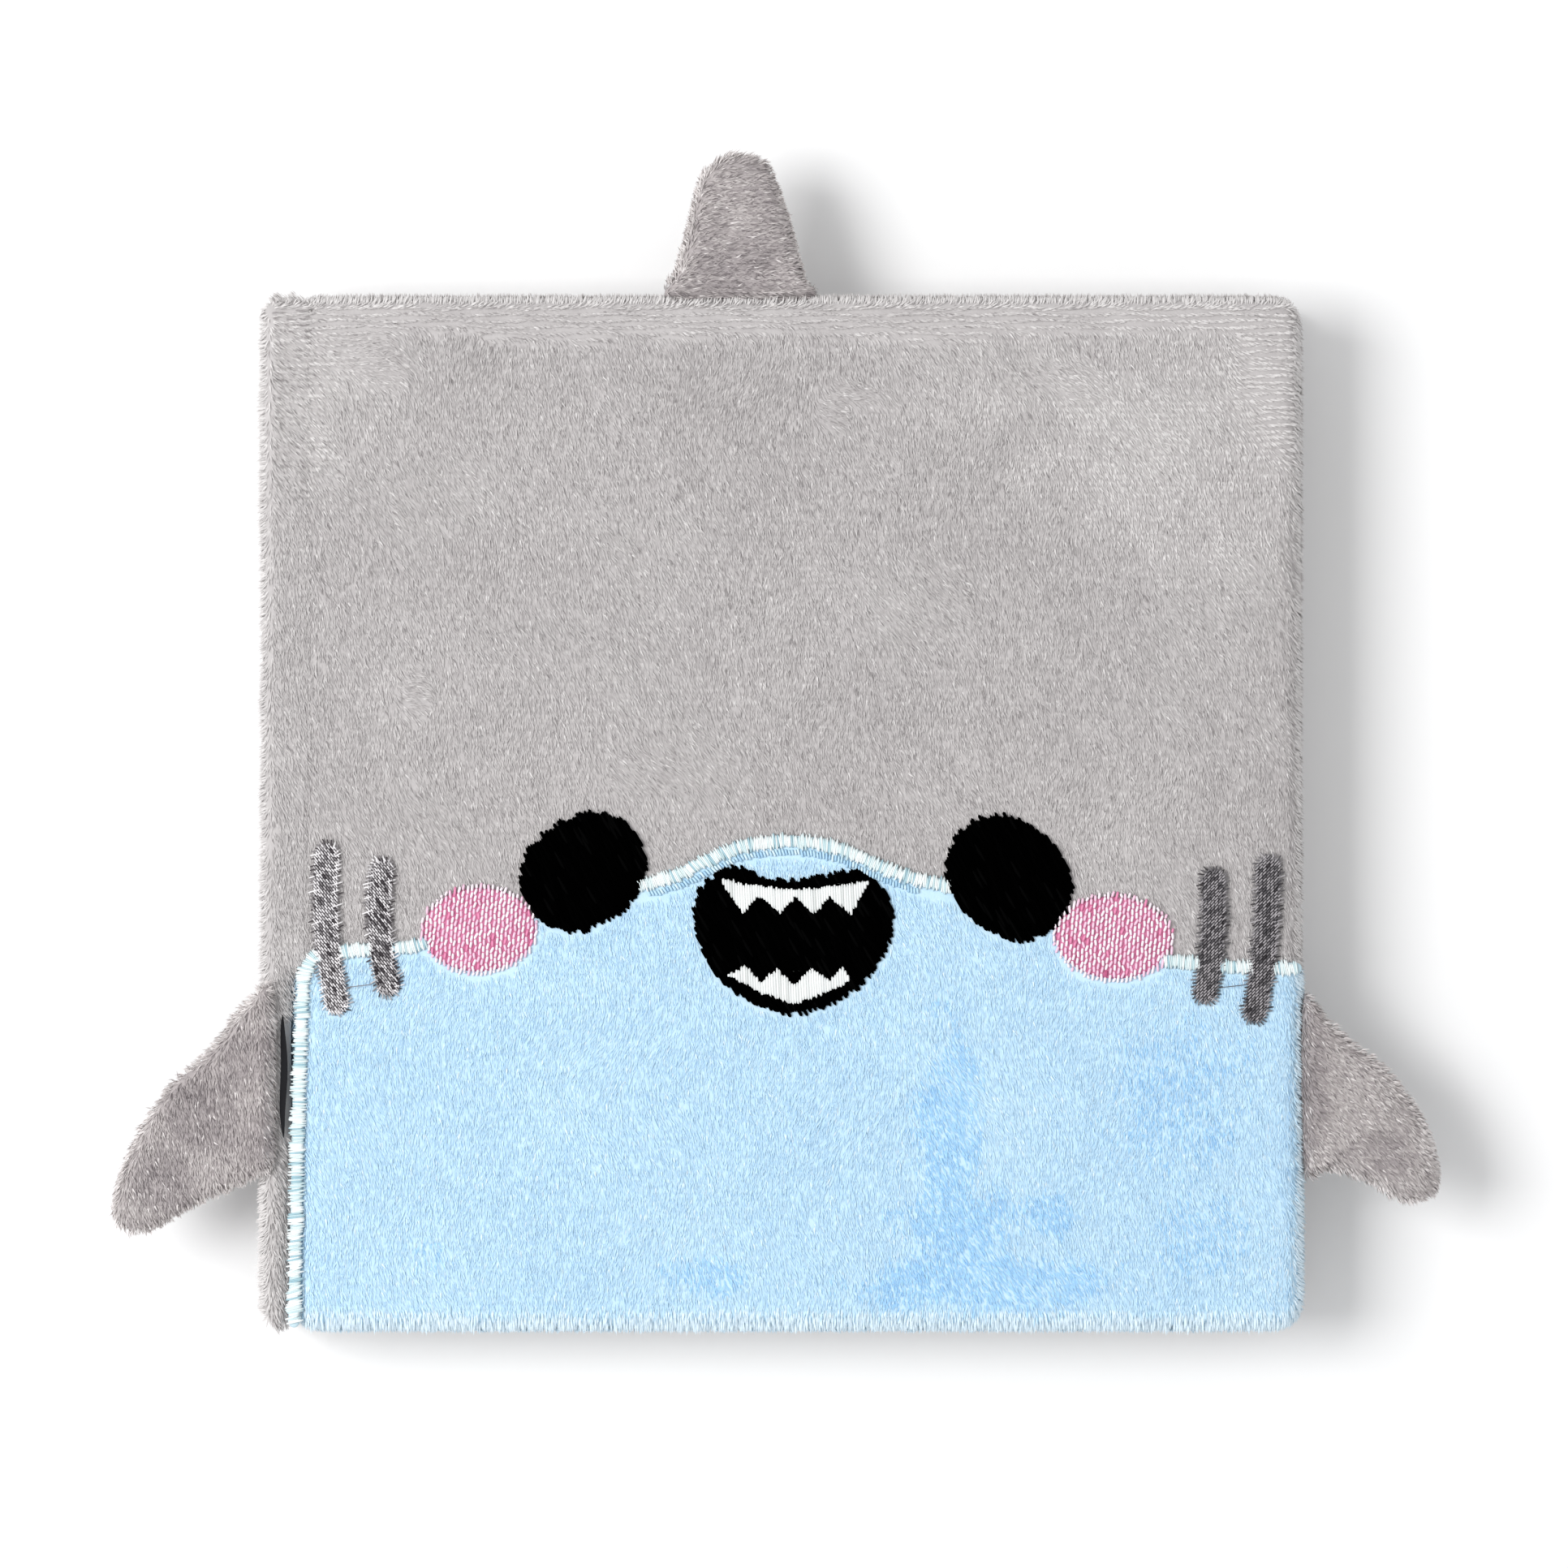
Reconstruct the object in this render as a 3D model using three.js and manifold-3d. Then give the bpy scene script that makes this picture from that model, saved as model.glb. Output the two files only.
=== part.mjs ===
// A square hardback notebook in a plush cover made up as a shark, lying shut on its back cover.
// Millimetres, +Z up. The spine runs along Y at -X; the sheet below is laid out around the middle
// of the cover and moved at the end so that the part stands centred on the origin.
import * as THREE from "three";
import Module from "manifold-3d";
import { mergeVertices } from "three/addons/utils/BufferGeometryUtils.js";

// ---- driving dimensions ---------------------------------------------------------------------
const COVER = { left: -75, right: 75, bottom: -74.6, top: 74.3, corner: 2.8 };
const GROOVE_X = -70.6; // where the cover panels end and the soft joint to the spine begins
const PLUSH = 2.0; // cloth with its pile
const WADDING = 1.5;
const WADDING_IN = 1.0; // the wadding stops this far short of the board's edges
const BOARD = 2.0;
const TURN_IN = 0.8; // cover cloth folded round the board and glued down inside
const TURN_IN_WIDTH = 12;
const PAPER = 0.15; // endpapers
const SECTIONS = 5;
const SECTION = 1.45; // sixteen leaves
const SLIT = 0.1; // air left between neighbours that only touch
const OVERHANG = 3.5; // how far the covers stand past the pages
const PANEL_DEPTH = 1.2; // belly cloth let into the front cloth
const STITCH_DEPTH = 0.75; // embroidery sunk into the pile
const STITCH_PROUD = 0.35; // and standing above it
const STITCH_GAP = 0.2;
const TOOTH_DEPTH = 0.3; // how far the teeth's beds are cut into the mouth
const BORDER_WIDTH = 2.4;
const GILL_WIDTH = 4.3;
const FIN_THICKNESS = 4.4;
const SPINE_FIN_THICKNESS = 2.4; // the fin that leaves the groove beside the spine is stuffed less
const FIN_SKIN = 0.8;
const FIN_GAP = 0.4; // between the cover's edge and a fin's seam
const SPINE_BOARD = 1.5;
const LINING = 0.5; // gauze glued over the sections' folds
const BAND_RADIUS = 0.5; // headband and tailband
const FAR = 200; // beyond every part of the notebook

const COLOURS = {
  grey: 0xbebab8,
  blue: 0xb8d6f3,
  mint: 0xe1f2f2,
  black: 0x060606,
  white: 0xf5f5f8,
  pink: 0xf096b4,
  gill: 0x6e6c6e,
  card: 0xb9a88c,
  wadding: 0xf2f0ea,
  paper: 0xf7f4ea,
  band: 0xdfe6ea,
};

// ---- heights, from the table up -------------------------------------------------------------
const backWadding = PLUSH;
const backBoard = backWadding + WADDING;
const backInside = backBoard + BOARD + TURN_IN;
const backPastedown = backInside + SLIT;
const backFlyleaf = backPastedown + PAPER + SLIT;
const firstPage = backFlyleaf + PAPER + SLIT;
const sectionPitch = SECTION + SLIT / 2;
const frontFlyleaf = firstPage + SECTIONS * sectionPitch + SLIT / 2;
const frontPastedown = frontFlyleaf + PAPER + SLIT;
const frontInside = frontPastedown + PAPER + SLIT;
const frontBoard = frontInside + TURN_IN;
const frontWadding = frontBoard + BOARD;
const frontCloth = frontWadding + WADDING;
const frontFace = frontCloth + PLUSH;
const stitchBottom = frontFace - STITCH_DEPTH;
const stitchTop = frontFace + STITCH_PROUD;

const wasm = await Module();
wasm.setup();
const group = new THREE.Group();
group.name = "plush_shark_notebook";

// ---- outlines: each is a function of how far it is drawn in ---------------------------------
function roundedRect(left, right, bottom, top, corner, perCorner = 5) {
  return (inset) => {
    const radius = Math.max(corner - inset, 0.4);
    const corners = [
      [right - inset - radius, top - inset - radius, 0],
      [left + inset + radius, top - inset - radius, 1],
      [left + inset + radius, bottom + inset + radius, 2],
      [right - inset - radius, bottom + inset + radius, 3],
    ];
    return corners.flatMap(([x, y, turn]) =>
      Array.from({ length: perCorner }, (_, i) => {
        const angle = (Math.PI / 2) * (turn + i / (perCorner - 1));
        return new THREE.Vector2(x + radius * Math.cos(angle), y + radius * Math.sin(angle));
      }),
    );
  };
}

function drawnIn(points, inset) {
  return points.map((p, i) => {
    const before = points[(i + points.length - 1) % points.length];
    const after = points[(i + 1) % points.length];
    const along = after.clone().sub(before).normalize();
    return new THREE.Vector2(p.x - along.y * inset, p.y + along.x * inset);
  });
}

// A smooth closed outline through a few points. With "blunt", only what lies in the box "keep" is
// left, and sharp corners are rounded to that radius so that the edge can be drawn in by as much.
function smooth(points, blunt = 0, keep = [-FAR, FAR, -FAR, FAR], count = 56) {
  const curve = new THREE.CatmullRomCurve3(
    points.map(([x, y]) => new THREE.Vector3(x, y, 0)),
    true,
    "centripetal",
  );
  const spaced = curve.getSpacedPoints(count * 2).slice(0, -1);
  if (THREE.ShapeUtils.isClockWise(spaced)) spaced.reverse();
  let loop = spaced.map((p) => [p.x, p.y]);
  if (blunt > 0) {
    const [x0, x1, y0, y1] = keep;
    const window = wasm.CrossSection.square([x1 - x0, y1 - y0]).translate([x0, y0]);
    const kept = new wasm.CrossSection([loop]).intersect(window);
    const shrunk = kept.offset(-blunt, "Round", 2, 24);
    loop = shrunk.offset(blunt, "Round", 2, 24).toPolygons()[0];
  }
  const path = new THREE.CurvePath();
  loop.forEach(([x, y], i) => {
    const [nextX, nextY] = loop[(i + 1) % loop.length];
    path.add(new THREE.LineCurve(new THREE.Vector2(x, y), new THREE.Vector2(nextX, nextY)));
  });
  const even = path.getSpacedPoints(count).slice(0, -1);
  return (inset) => drawnIn(even, inset);
}

function ellipse(x, y, width, height, tilt, count = 40) {
  const turn = THREE.MathUtils.degToRad(tilt);
  return (inset) =>
    Array.from({ length: count }, (_, i) => {
      const angle = (2 * Math.PI * i) / count;
      const point = new THREE.Vector2(
        (width / 2 - inset) * Math.cos(angle),
        (height / 2 - inset) * Math.sin(angle),
      );
      return point.rotateAround(new THREE.Vector2(), turn).add(new THREE.Vector2(x, y));
    });
}

// The outline of a line of satin stitch: a strip of one width round a smooth open path.
function strip(points, width, count) {
  const curve = new THREE.CatmullRomCurve3(
    points.map(([x, y]) => new THREE.Vector3(x, y, 0)),
    false,
    "centripetal",
  );
  return (inset) => {
    const half = width / 2 - inset;
    const sides = [[], []];
    for (let i = 0; i <= count; i += 1) {
      const p = curve.getPointAt(i / count);
      const along = curve.getTangentAt(i / count);
      const push = i === 0 ? inset : i === count ? -inset : 0;
      [1, -1].forEach((side, s) => {
        const x = p.x + along.x * push + side * along.y * half;
        const y = p.y + along.y * push - side * along.x * half;
        sides[s].push(new THREE.Vector2(x, y));
      });
    }
    return [...sides[0], ...sides[1].reverse()];
  };
}

// ---- solids ---------------------------------------------------------------------------------
// Stacks an outline at several heights, each drawn in by its own amount, into one closed solid.
function pillow(outline, profile) {
  const rings = profile.map(([inset, z]) => outline(inset).map((p) => [p.x, p.y, z]));
  const n = rings[0].length;
  const indices = [];
  for (let r = 0; r + 1 < rings.length; r += 1) {
    for (let i = 0; i < n; i += 1) {
      const a = r * n + i;
      const b = r * n + ((i + 1) % n);
      indices.push(a, b, b + n, a, b + n, a + n);
    }
  }
  const caps = (ring) => {
    const flat = ring.map(([x, y]) => new THREE.Vector2(x, y));
    return THREE.ShapeUtils.triangulateShape(flat, []);
  };
  const top = (rings.length - 1) * n;
  caps(rings[0]).forEach(([a, b, c]) => indices.push(c, b, a));
  caps(rings.at(-1)).forEach(([a, b, c]) => indices.push(top + a, top + b, top + c));
  const mesh = new wasm.Mesh({
    numProp: 3,
    vertProperties: new Float32Array(rings.flat(2)),
    triVerts: new Uint32Array(indices),
  });
  return new wasm.Manifold(mesh);
}

const prism = (outline, z0, z1, grow = 0) => pillow(outline, [[-grow, z0], [-grow, z1]]);

function box(x0, x1, y0, y1, z0, z1) {
  return wasm.Manifold.cube([x1 - x0, y1 - y0, z1 - z0]).translate([x0, y0, z0]);
}

function add(name, solid, colour, roughness = 0.9) {
  const made = solid.getMesh();
  const geometry = new THREE.BufferGeometry();
  geometry.setAttribute("position", new THREE.BufferAttribute(made.vertProperties, made.numProp));
  geometry.setIndex(new THREE.BufferAttribute(made.triVerts, 1));
  const material = new THREE.MeshStandardMaterial({ color: colour, roughness, metalness: 0 });
  const mesh = new THREE.Mesh(mergeVertices(geometry, 1e-5), material);
  mesh.name = name;
  group.add(mesh);
}

// ---- covers: cloth wrapped round wadding and board ------------------------------------------
const panel = roundedRect(GROOVE_X, COVER.right, COVER.bottom, COVER.top, COVER.corner);
const boardLeft = GROOVE_X + 1.1;
const boardRight = COVER.right - PLUSH;
const boardBottom = COVER.bottom + PLUSH;
const boardTop = COVER.top - PLUSH;
const hidden = (shrink, z0, z1) =>
  box(boardLeft + shrink, boardRight - shrink, boardBottom + shrink, boardTop - shrink, z0, z1);

// Both faces are written for the front cover, z upwards; the back cover is the same thing mirrored.
const faceProfile = (grow = 0) => [
  [1.0 + grow, frontInside],
  [0.3 + grow, frontInside + 0.5],
  [grow, frontInside + 1.3],
  [grow, frontFace - 2.6 - grow],
  [0.5 + grow, frontFace - 1.2 - grow],
  [1.4 + grow, frontFace - 0.35 - grow],
  [2.8 + grow, frontFace - grow],
];
const insideTheTurnIn = box(
  boardLeft,
  boardRight - TURN_IN_WIDTH,
  boardBottom + TURN_IN_WIDTH,
  boardTop - TURN_IN_WIDTH,
  frontInside - 1,
  frontBoard + SLIT,
);
const hollow = hidden(0, frontBoard, frontCloth).add(insideTheTurnIn);
const cover = pillow(panel, faceProfile()).subtract(hollow);
const mirrored = (solid) => solid.mirror([0, 0, 1]).translate([0, 0, frontFace]);

const layers = {
  back_wadding: [WADDING_IN, backWadding + SLIT, backBoard - SLIT / 2, COLOURS.wadding],
  back_board: [SLIT, backBoard + SLIT / 2, backBoard + BOARD - SLIT, COLOURS.card],
  front_board: [SLIT, frontBoard + SLIT, frontWadding - SLIT / 2, COLOURS.card],
  front_wadding: [WADDING_IN, frontWadding + SLIT / 2, frontCloth - SLIT, COLOURS.wadding],
};
add("back_plush", mirrored(cover), COLOURS.grey);
Object.entries(layers).forEach(([name, [shrink, z0, z1, colour]]) => {
  add(name, hidden(shrink, z0, z1), colour);
});

// ---- face: belly cloth and embroidery let into the front cloth ------------------------------
const leftEye = ellipse(-28.2, -8.6, 18.4, 15.8, 34);
const rightEye = ellipse(32.4, -9.5, 18.4, 16.4, -40);
const leftCheek = ellipse(-43.0, -16.9, 17.2, 13.1, 3);
const rightCheek = ellipse(47.4, -18.0, 17.6, 12.7, -4);
const mouth = smooth([
  [-6.4, -8.1], [-11.2, -11], [-12.4, -16.6], [-9.6, -23.1], [-5.5, -26.8], [1, -28.9],
  [8.3, -26.9], [13.3, -22.7], [16, -16.1], [14.9, -11.3], [10.3, -8.6], [2.5, -9.8],
]);
const cornered = (points) => (inset) =>
  drawnIn(
    points.map(([x, y]) => new THREE.Vector2(x, y)),
    inset,
  );
const upperTeeth = cornered([
  [-8, -9.9], [-5.9, -14.6], [-3.5, -12.3], [-0.3, -14.6], [1.9, -12.4],
  [4.6, -14.8], [6.6, -12.3], [9.7, -14.8], [12.4, -10], [2, -11.2],
]);
const lowerTeeth = cornered([
  [-7.4, -23.2], [-3.3, -25.7], [1.5, -27.6], [6.2, -25.9], [9.6, -24], [8.8, -22.1],
  [6.7, -24], [4.2, -22.1], [1.8, -24.5], [-0.6, -22.3], [-3, -24.2], [-5.1, -22],
]);
const gills = {
  left_outer_gill: [[-64.8, -4.4], [-64.4, -17], [-63.6, -29.4]],
  left_inner_gill: [[-57.4, -6.4], [-57, -16], [-56.3, -26.5]],
  right_inner_gill: [[61.7, -7.9], [61.6, -18], [60.9, -27.7]],
  right_outer_gill: [[69.2, -6], [68.6, -18], [67.6, -30.6]],
};
const leftBorderRise = [
  [-69.2, -73.2], [-68.8, -45], [-68.4, -25], [-67.6, -21.6], [-65.2, -20.1], [-60.5, -19.9],
];
const middleBorder = [
  [-20.2, -10.8], [-15, -9], [-6, -5.1], [2, -4.3], [10, -6], [17, -9.2], [23.3, -10.8],
];
const borders = {
  belly_border_left: [...leftBorderRise, [-52.4, -19.4]],
  belly_border_middle: middleBorder,
  belly_border_right: [[56.6, -21.7], [63.2, -22.2], [72.6, -22.5]],
};
// The belly cloth's upper edge runs along the borders and under the cheeks and eyes between them.
const bellyEdge = [
  [leftBorderRise[0][0], -90], ...leftBorderRise, [-51, -19.4], [-36, -15.5], ...middleBorder,
  [40, -16.5], [55.1, -21.4], [63.2, -22.2], [90, -22.5], [90, -90],
];
const bellyRegion = () => bellyEdge.map(([x, y]) => new THREE.Vector2(x, y)).reverse();

const inCloth = prism(bellyRegion, frontInside - 2, frontFace + 2);
const behindPanel = pillow(panel, faceProfile(PANEL_DEPTH + STITCH_GAP));
const underPanel = pillow(panel, faceProfile(PANEL_DEPTH));
const belowPanel = box(-FAR, FAR, -FAR, FAR, frontInside - 5, frontInside + TURN_IN + 0.4);
let belly = pillow(panel, faceProfile()).intersect(inCloth).subtract(underPanel);
belly = belly.subtract(belowPanel.translate([0, 0, STITCH_GAP]));
let front = cover.subtract(inCloth.subtract(behindPanel).subtract(belowPanel));

const stitched = {
  left_eye: [leftEye, COLOURS.black],
  right_eye: [rightEye, COLOURS.black],
  left_cheek: [leftCheek, COLOURS.pink, leftEye],
  right_cheek: [rightCheek, COLOURS.pink, rightEye],
  mouth: [mouth, COLOURS.black],
};
Object.entries(gills).forEach(([name, path]) => {
  stitched[name] = [strip(path, GILL_WIDTH, 6), COLOURS.gill];
});
Object.entries(borders).forEach(([name, path]) => {
  stitched[name] = [strip(path, BORDER_WIDTH, path.length * 3), COLOURS.mint];
});

const bed = (outline) => prism(outline, stitchBottom - STITCH_GAP, stitchTop + 1, STITCH_GAP);
Object.entries(stitched).forEach(([name, [outline, colour, over]]) => {
  const top = name in borders ? frontFace : stitchTop;
  let solid = pillow(outline, [
    [0, stitchBottom],
    [0, top - 0.35],
    [0.4, top - 0.1],
    [0.9, top],
  ]);
  if (over) solid = solid.subtract(bed(over));
  if (name === "mouth") {
    [upperTeeth, lowerTeeth].forEach((teeth) => {
      solid = solid.subtract(prism(teeth, frontFace - TOOTH_DEPTH, stitchTop + 1, STITCH_GAP));
    });
  }
  if (!(name in borders)) {
    Object.keys(borders).forEach((border) => {
      const [line] = stitched[border];
      solid = solid.subtract(prism(line, stitchBottom - 1, frontFace + SLIT, STITCH_GAP));
    });
  }
  front = front.subtract(bed(outline));
  belly = belly.subtract(bed(outline));
  add(name, solid, colour, 0.45);
});
const teethProfile = [[0, frontFace - 0.1], [0, stitchTop], [0.25, stitchTop + 0.1]];
add("upper_teeth", pillow(upperTeeth, teethProfile), COLOURS.white, 0.5);
add("lower_teeth", pillow(lowerTeeth, teethProfile), COLOURS.white, 0.5);
add("front_plush", front, COLOURS.grey);
add("belly_panel", belly, COLOURS.blue);

// ---- fins: two skins of plush round a thin filling ------------------------------------------
function fin(name, outline, bottom, thickness) {
  const edge = thickness / 2;
  const steps = 4;
  const profile = (shrink) =>
    Array.from({ length: 2 * steps + 1 }, (_, i) => {
      const angle = (Math.PI / 2) * (i / steps - 1);
      const radius = edge - shrink;
      const inset = shrink + radius * (1 - Math.cos(angle)) * 0.9;
      return [inset, bottom + edge + radius * Math.sin(angle)];
    });
  const whole = pillow(outline, profile(0));
  const inside = pillow(outline, profile(FIN_SKIN));
  const half = (z0, z1) => whole.intersect(box(-FAR, FAR, -FAR, FAR, z0, z1)).subtract(inside);
  add(`${name}_front_skin`, half(bottom + edge + SLIT, bottom + thickness + 1), COLOURS.grey);
  add(`${name}_back_skin`, half(bottom - 1, bottom + edge - SLIT), COLOURS.grey);
  add(`${name}_filling`, pillow(outline, profile(FIN_SKIN + SLIT)), COLOURS.wadding);
}

const finBottom = frontInside + 0.2;
const finRootY = COVER.top + FIN_GAP;
const finRootX = COVER.right + FIN_GAP;
const spineFinX = COVER.left - FIN_GAP + 0.1;
const dorsal = smooth(
  [
    [-17.8, 70], [5, 70], [3.6, 77.6], [1.1, 86.3], [-0.6, 91], [-3.4, 93.9], [-8, 94],
    [-11.4, 92.6], [-12.7, 88.5], [-14.8, 81.5],
  ],
  FIN_THICKNESS / 2,
  [-FAR, FAR, finRootY, FAR],
);
const rightFin = smooth(
  [
    [70, -51.4], [70, -26], [79, -30], [85, -35.3], [90.5, -41.8], [94.2, -49.5], [93.6, -54.8],
    [89.5, -56.2], [84, -53.4],
  ],
  FIN_THICKNESS / 2,
  [finRootX, FAR, -FAR, FAR],
);
const leftFin = smooth(
  [
    [-70, -22], [-81, -33], [-88, -39.4], [-92.5, -46], [-95.4, -53.5], [-96, -58.8],
    [-92.5, -60.4], [-86, -57.6], [-79.5, -54.2], [-70, -48.5],
  ],
  SPINE_FIN_THICKNESS / 2,
  [-FAR, spineFinX, -FAR, FAR],
);
fin("dorsal_fin", dorsal, finBottom, FIN_THICKNESS);
fin("right_fin", rightFin, finBottom, FIN_THICKNESS);
const spineFinBottom = frontInside + 0.3;
fin("left_fin", leftFin, spineFinBottom, SPINE_FIN_THICKNESS);

// ---- spine and the soft joints beside it ----------------------------------------------------
const spineTop = frontInside - 0.7;
const spineBottom = frontFace - spineTop;
const spineLength = [COVER.bottom + 0.4, COVER.top - 0.4];
const clothInside = COVER.left + PLUSH;
const spineCloth = box(COVER.left, clothInside, ...spineLength, spineBottom, spineTop);
const spineBoard = box(
  clothInside + SLIT,
  clothInside + SLIT + SPINE_BOARD,
  boardBottom,
  boardTop,
  spineBottom,
  spineTop - SLIT,
);
add("spine_plush", spineCloth, COLOURS.grey);
add("spine_board", spineBoard, COLOURS.card);

// A strip of cloth of one cross-section, given as x and z, laid along the spine.
function along(points, [y0, y1]) {
  const section = points.map(([x, z]) => new THREE.Vector2(x, -z)).reverse();
  return prism(() => section, y0, y1).rotate([-90, 0, 0]);
}

const beforePanel = GROOVE_X - 0.2;
const shoulder = [
  [COVER.left, spineTop + 0.2], [clothInside, spineTop + 0.2], [-72.4, 16.2],
  [beforePanel, 17.4], [beforePanel, 18.9], [-71.5, 19.2],
  [-72.1, 20.3], [-73.1, 20.9], [-74.2, 20.3], [-74.9, 18.8],
];
const joint = along(shoulder, spineLength);
const rootTab = box(-76, -71.3, -51, -29, 21.1, 22);
add("front_joint_plush", joint, COLOURS.grey);
add("back_joint_plush", mirrored(joint), COLOURS.grey);
add("left_fin_root", rootTab, COLOURS.grey);

// ---- pages ----------------------------------------------------------------------------------
const pageLeft = -69;
const pageRight = COVER.right - OVERHANG - PLUSH;
const pageBottom = boardBottom + OVERHANG;
const pageTop = boardTop - OVERHANG;
const leaf = (z) => box(pageLeft, pageRight, pageBottom, pageTop, z, z + PAPER);
const liner = (z) =>
  box(boardLeft + 0.4, boardRight - 2, boardBottom + 2, boardTop - 2, z, z + PAPER);

// A sewn section: flat faces, with its folds rounded along the spine.
function section(z) {
  const radius = SECTION / 2;
  const fold = Array.from({ length: 7 }, (_, i) => {
    const angle = Math.PI * (0.5 + i / 6);
    return [pageLeft + radius + radius * Math.cos(angle), z + radius + radius * Math.sin(angle)];
  });
  const outline = [[pageRight, z], [pageRight, z + SECTION], ...fold];
  return along(outline, [pageBottom, pageTop]);
}

add("back_pastedown", liner(backPastedown), COLOURS.paper, 0.8);
add("back_flyleaf", leaf(backFlyleaf), COLOURS.paper, 0.8);
for (let i = 0; i < SECTIONS; i += 1) {
  add(`page_section_${SECTIONS - i}`, section(firstPage + i * sectionPitch), COLOURS.paper, 0.8);
}
add("front_flyleaf", leaf(frontFlyleaf), COLOURS.paper, 0.8);
add("front_pastedown", liner(frontPastedown), COLOURS.paper, 0.8);
const liningX = pageLeft - 0.7;
const blockTop = frontFlyleaf - sectionPitch - SLIT;
const lining = box(liningX - LINING, liningX, pageBottom, pageTop, firstPage, blockTop);
add("spine_lining", lining, COLOURS.band);
const band = wasm.Manifold.cylinder(blockTop - firstPage, BAND_RADIUS, BAND_RADIUS, 16);
const bandOut = BAND_RADIUS + SLIT; // from the pages' edge to the middle of the band
const bandX = liningX + bandOut;
add("head_band", band.translate([bandX, pageTop + bandOut, firstPage]), COLOURS.band);
add("tail_band", band.translate([bandX, pageBottom - bandOut, firstPage]), COLOURS.band);

// ---- stand the part on the origin -----------------------------------------------------------
const bounds = new THREE.Box3().setFromObject(group);
const middle = bounds.getCenter(new THREE.Vector3());
group.children.forEach((mesh) => mesh.geometry.translate(-middle.x, -middle.y, -bounds.min.z));

export default group;
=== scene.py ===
"""A square hardback notebook in a padded plush cover made up as a shark, lying shut with its face up.

Lengths in this script are millimetres from the middle of the front cover, with x towards the fore edge,
y towards the head and z up from the table, until row() turns them into metres in the frame.
"""

import math

import bpy
import numpy as np
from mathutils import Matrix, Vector


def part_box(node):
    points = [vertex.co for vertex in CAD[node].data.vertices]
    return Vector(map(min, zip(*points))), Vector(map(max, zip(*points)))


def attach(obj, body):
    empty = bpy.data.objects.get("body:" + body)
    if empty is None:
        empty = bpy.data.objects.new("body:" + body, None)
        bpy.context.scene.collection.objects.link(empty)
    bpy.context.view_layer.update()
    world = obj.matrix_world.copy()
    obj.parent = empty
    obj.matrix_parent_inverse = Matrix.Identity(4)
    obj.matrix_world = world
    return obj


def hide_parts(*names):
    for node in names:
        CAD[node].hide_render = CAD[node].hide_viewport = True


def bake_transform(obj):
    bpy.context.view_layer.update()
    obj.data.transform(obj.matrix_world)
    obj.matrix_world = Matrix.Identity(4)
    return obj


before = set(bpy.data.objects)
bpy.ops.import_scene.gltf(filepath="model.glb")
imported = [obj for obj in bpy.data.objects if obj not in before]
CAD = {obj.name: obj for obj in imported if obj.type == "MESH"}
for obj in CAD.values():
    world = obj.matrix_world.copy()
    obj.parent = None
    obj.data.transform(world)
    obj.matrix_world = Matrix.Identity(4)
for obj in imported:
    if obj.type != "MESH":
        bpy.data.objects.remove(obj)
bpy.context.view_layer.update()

# ---- sizes ----------------------------------------------------------------------------------------
MM = 0.001
panel_low, panel_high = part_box("front_plush")
spine_low, spine_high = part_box("spine_plush")
COVER_WIDTH = 150.0
HALF_WIDTH = COVER_WIDTH / 2
BOTTOM = -74.6  # the cover's lower edge, from the middle that the face is laid out around
TOP = BOTTOM + (panel_high.y - panel_low.y) / MM
MIDDLE = np.array([(spine_low.x + panel_high.x) / 2, panel_low.y - BOTTOM * MM, 0.0])
GROOVE = (panel_low.x - MIDDLE[0]) / MM
FACE = panel_high.z / MM
INSIDE = panel_low.z / MM
PILE_DEPTH = 1.15  # how far the lying pile stands over its backing cloth
CORNER = 1.9
ROW = 0.87  # the pile is rooted in knitted rows this far apart
THREAD = 0.42  # width of an embroidery thread
STITCH_BASE = FACE - 0.75
STITCH_RISE = 0.34

# ---- colours --------------------------------------------------------------------------------------
# Five shades for each pile, picked at random about the middle one; the darkest also serves as painted shade in the
# gaps between knitted rows, and the lightest as painted light on steep edges, fringes and rims.
GREYS = [(0.31, 0.29, 0.29), (0.472, 0.448, 0.446), (0.532, 0.509, 0.505), (0.584, 0.561, 0.555), (0.70, 0.678, 0.67)]
FIN_GREYS = [(0.22, 0.195, 0.20), (0.365, 0.33, 0.333), (0.462, 0.424, 0.42), (0.55, 0.515, 0.505), (0.74, 0.70, 0.69)]
BLUES = [(0.43, 0.65, 0.87), (0.52, 0.735, 0.90), (0.555, 0.77, 0.93), (0.60, 0.80, 0.935), (0.75, 0.88, 0.96)]
BRUSHED_BLUES = [(0.32, 0.58, 0.87), (0.37, 0.635, 0.90), (0.395, 0.665, 0.92), (0.44, 0.70, 0.93), (0.52, 0.76, 0.94)]
# The darkest mint is painted shade between the border's threads.
MINTS = [(0.40, 0.59, 0.66), (0.60, 0.75, 0.78), (0.76, 0.86, 0.87), (0.88, 0.93, 0.93)]
SKIES = [(0.42, 0.65, 0.84), (0.52, 0.74, 0.89), (0.68, 0.84, 0.92)]
BLACKS = [(0.0001, 0.0001, 0.0001), (0.0003, 0.0003, 0.0003), (0.0015, 0.0015, 0.0015)]
WHITES = [(0.66, 0.68, 0.67), (0.755, 0.775, 0.77), (0.85, 0.87, 0.86)]
# The palest pink is the pink thread with a painted highlight, and most cheek stitches take it.
PINKS = [(0.50, 0.10, 0.22), (0.78, 0.27, 0.45), (0.90, 0.60, 0.74), (0.96, 0.86, 0.92)]
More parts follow.
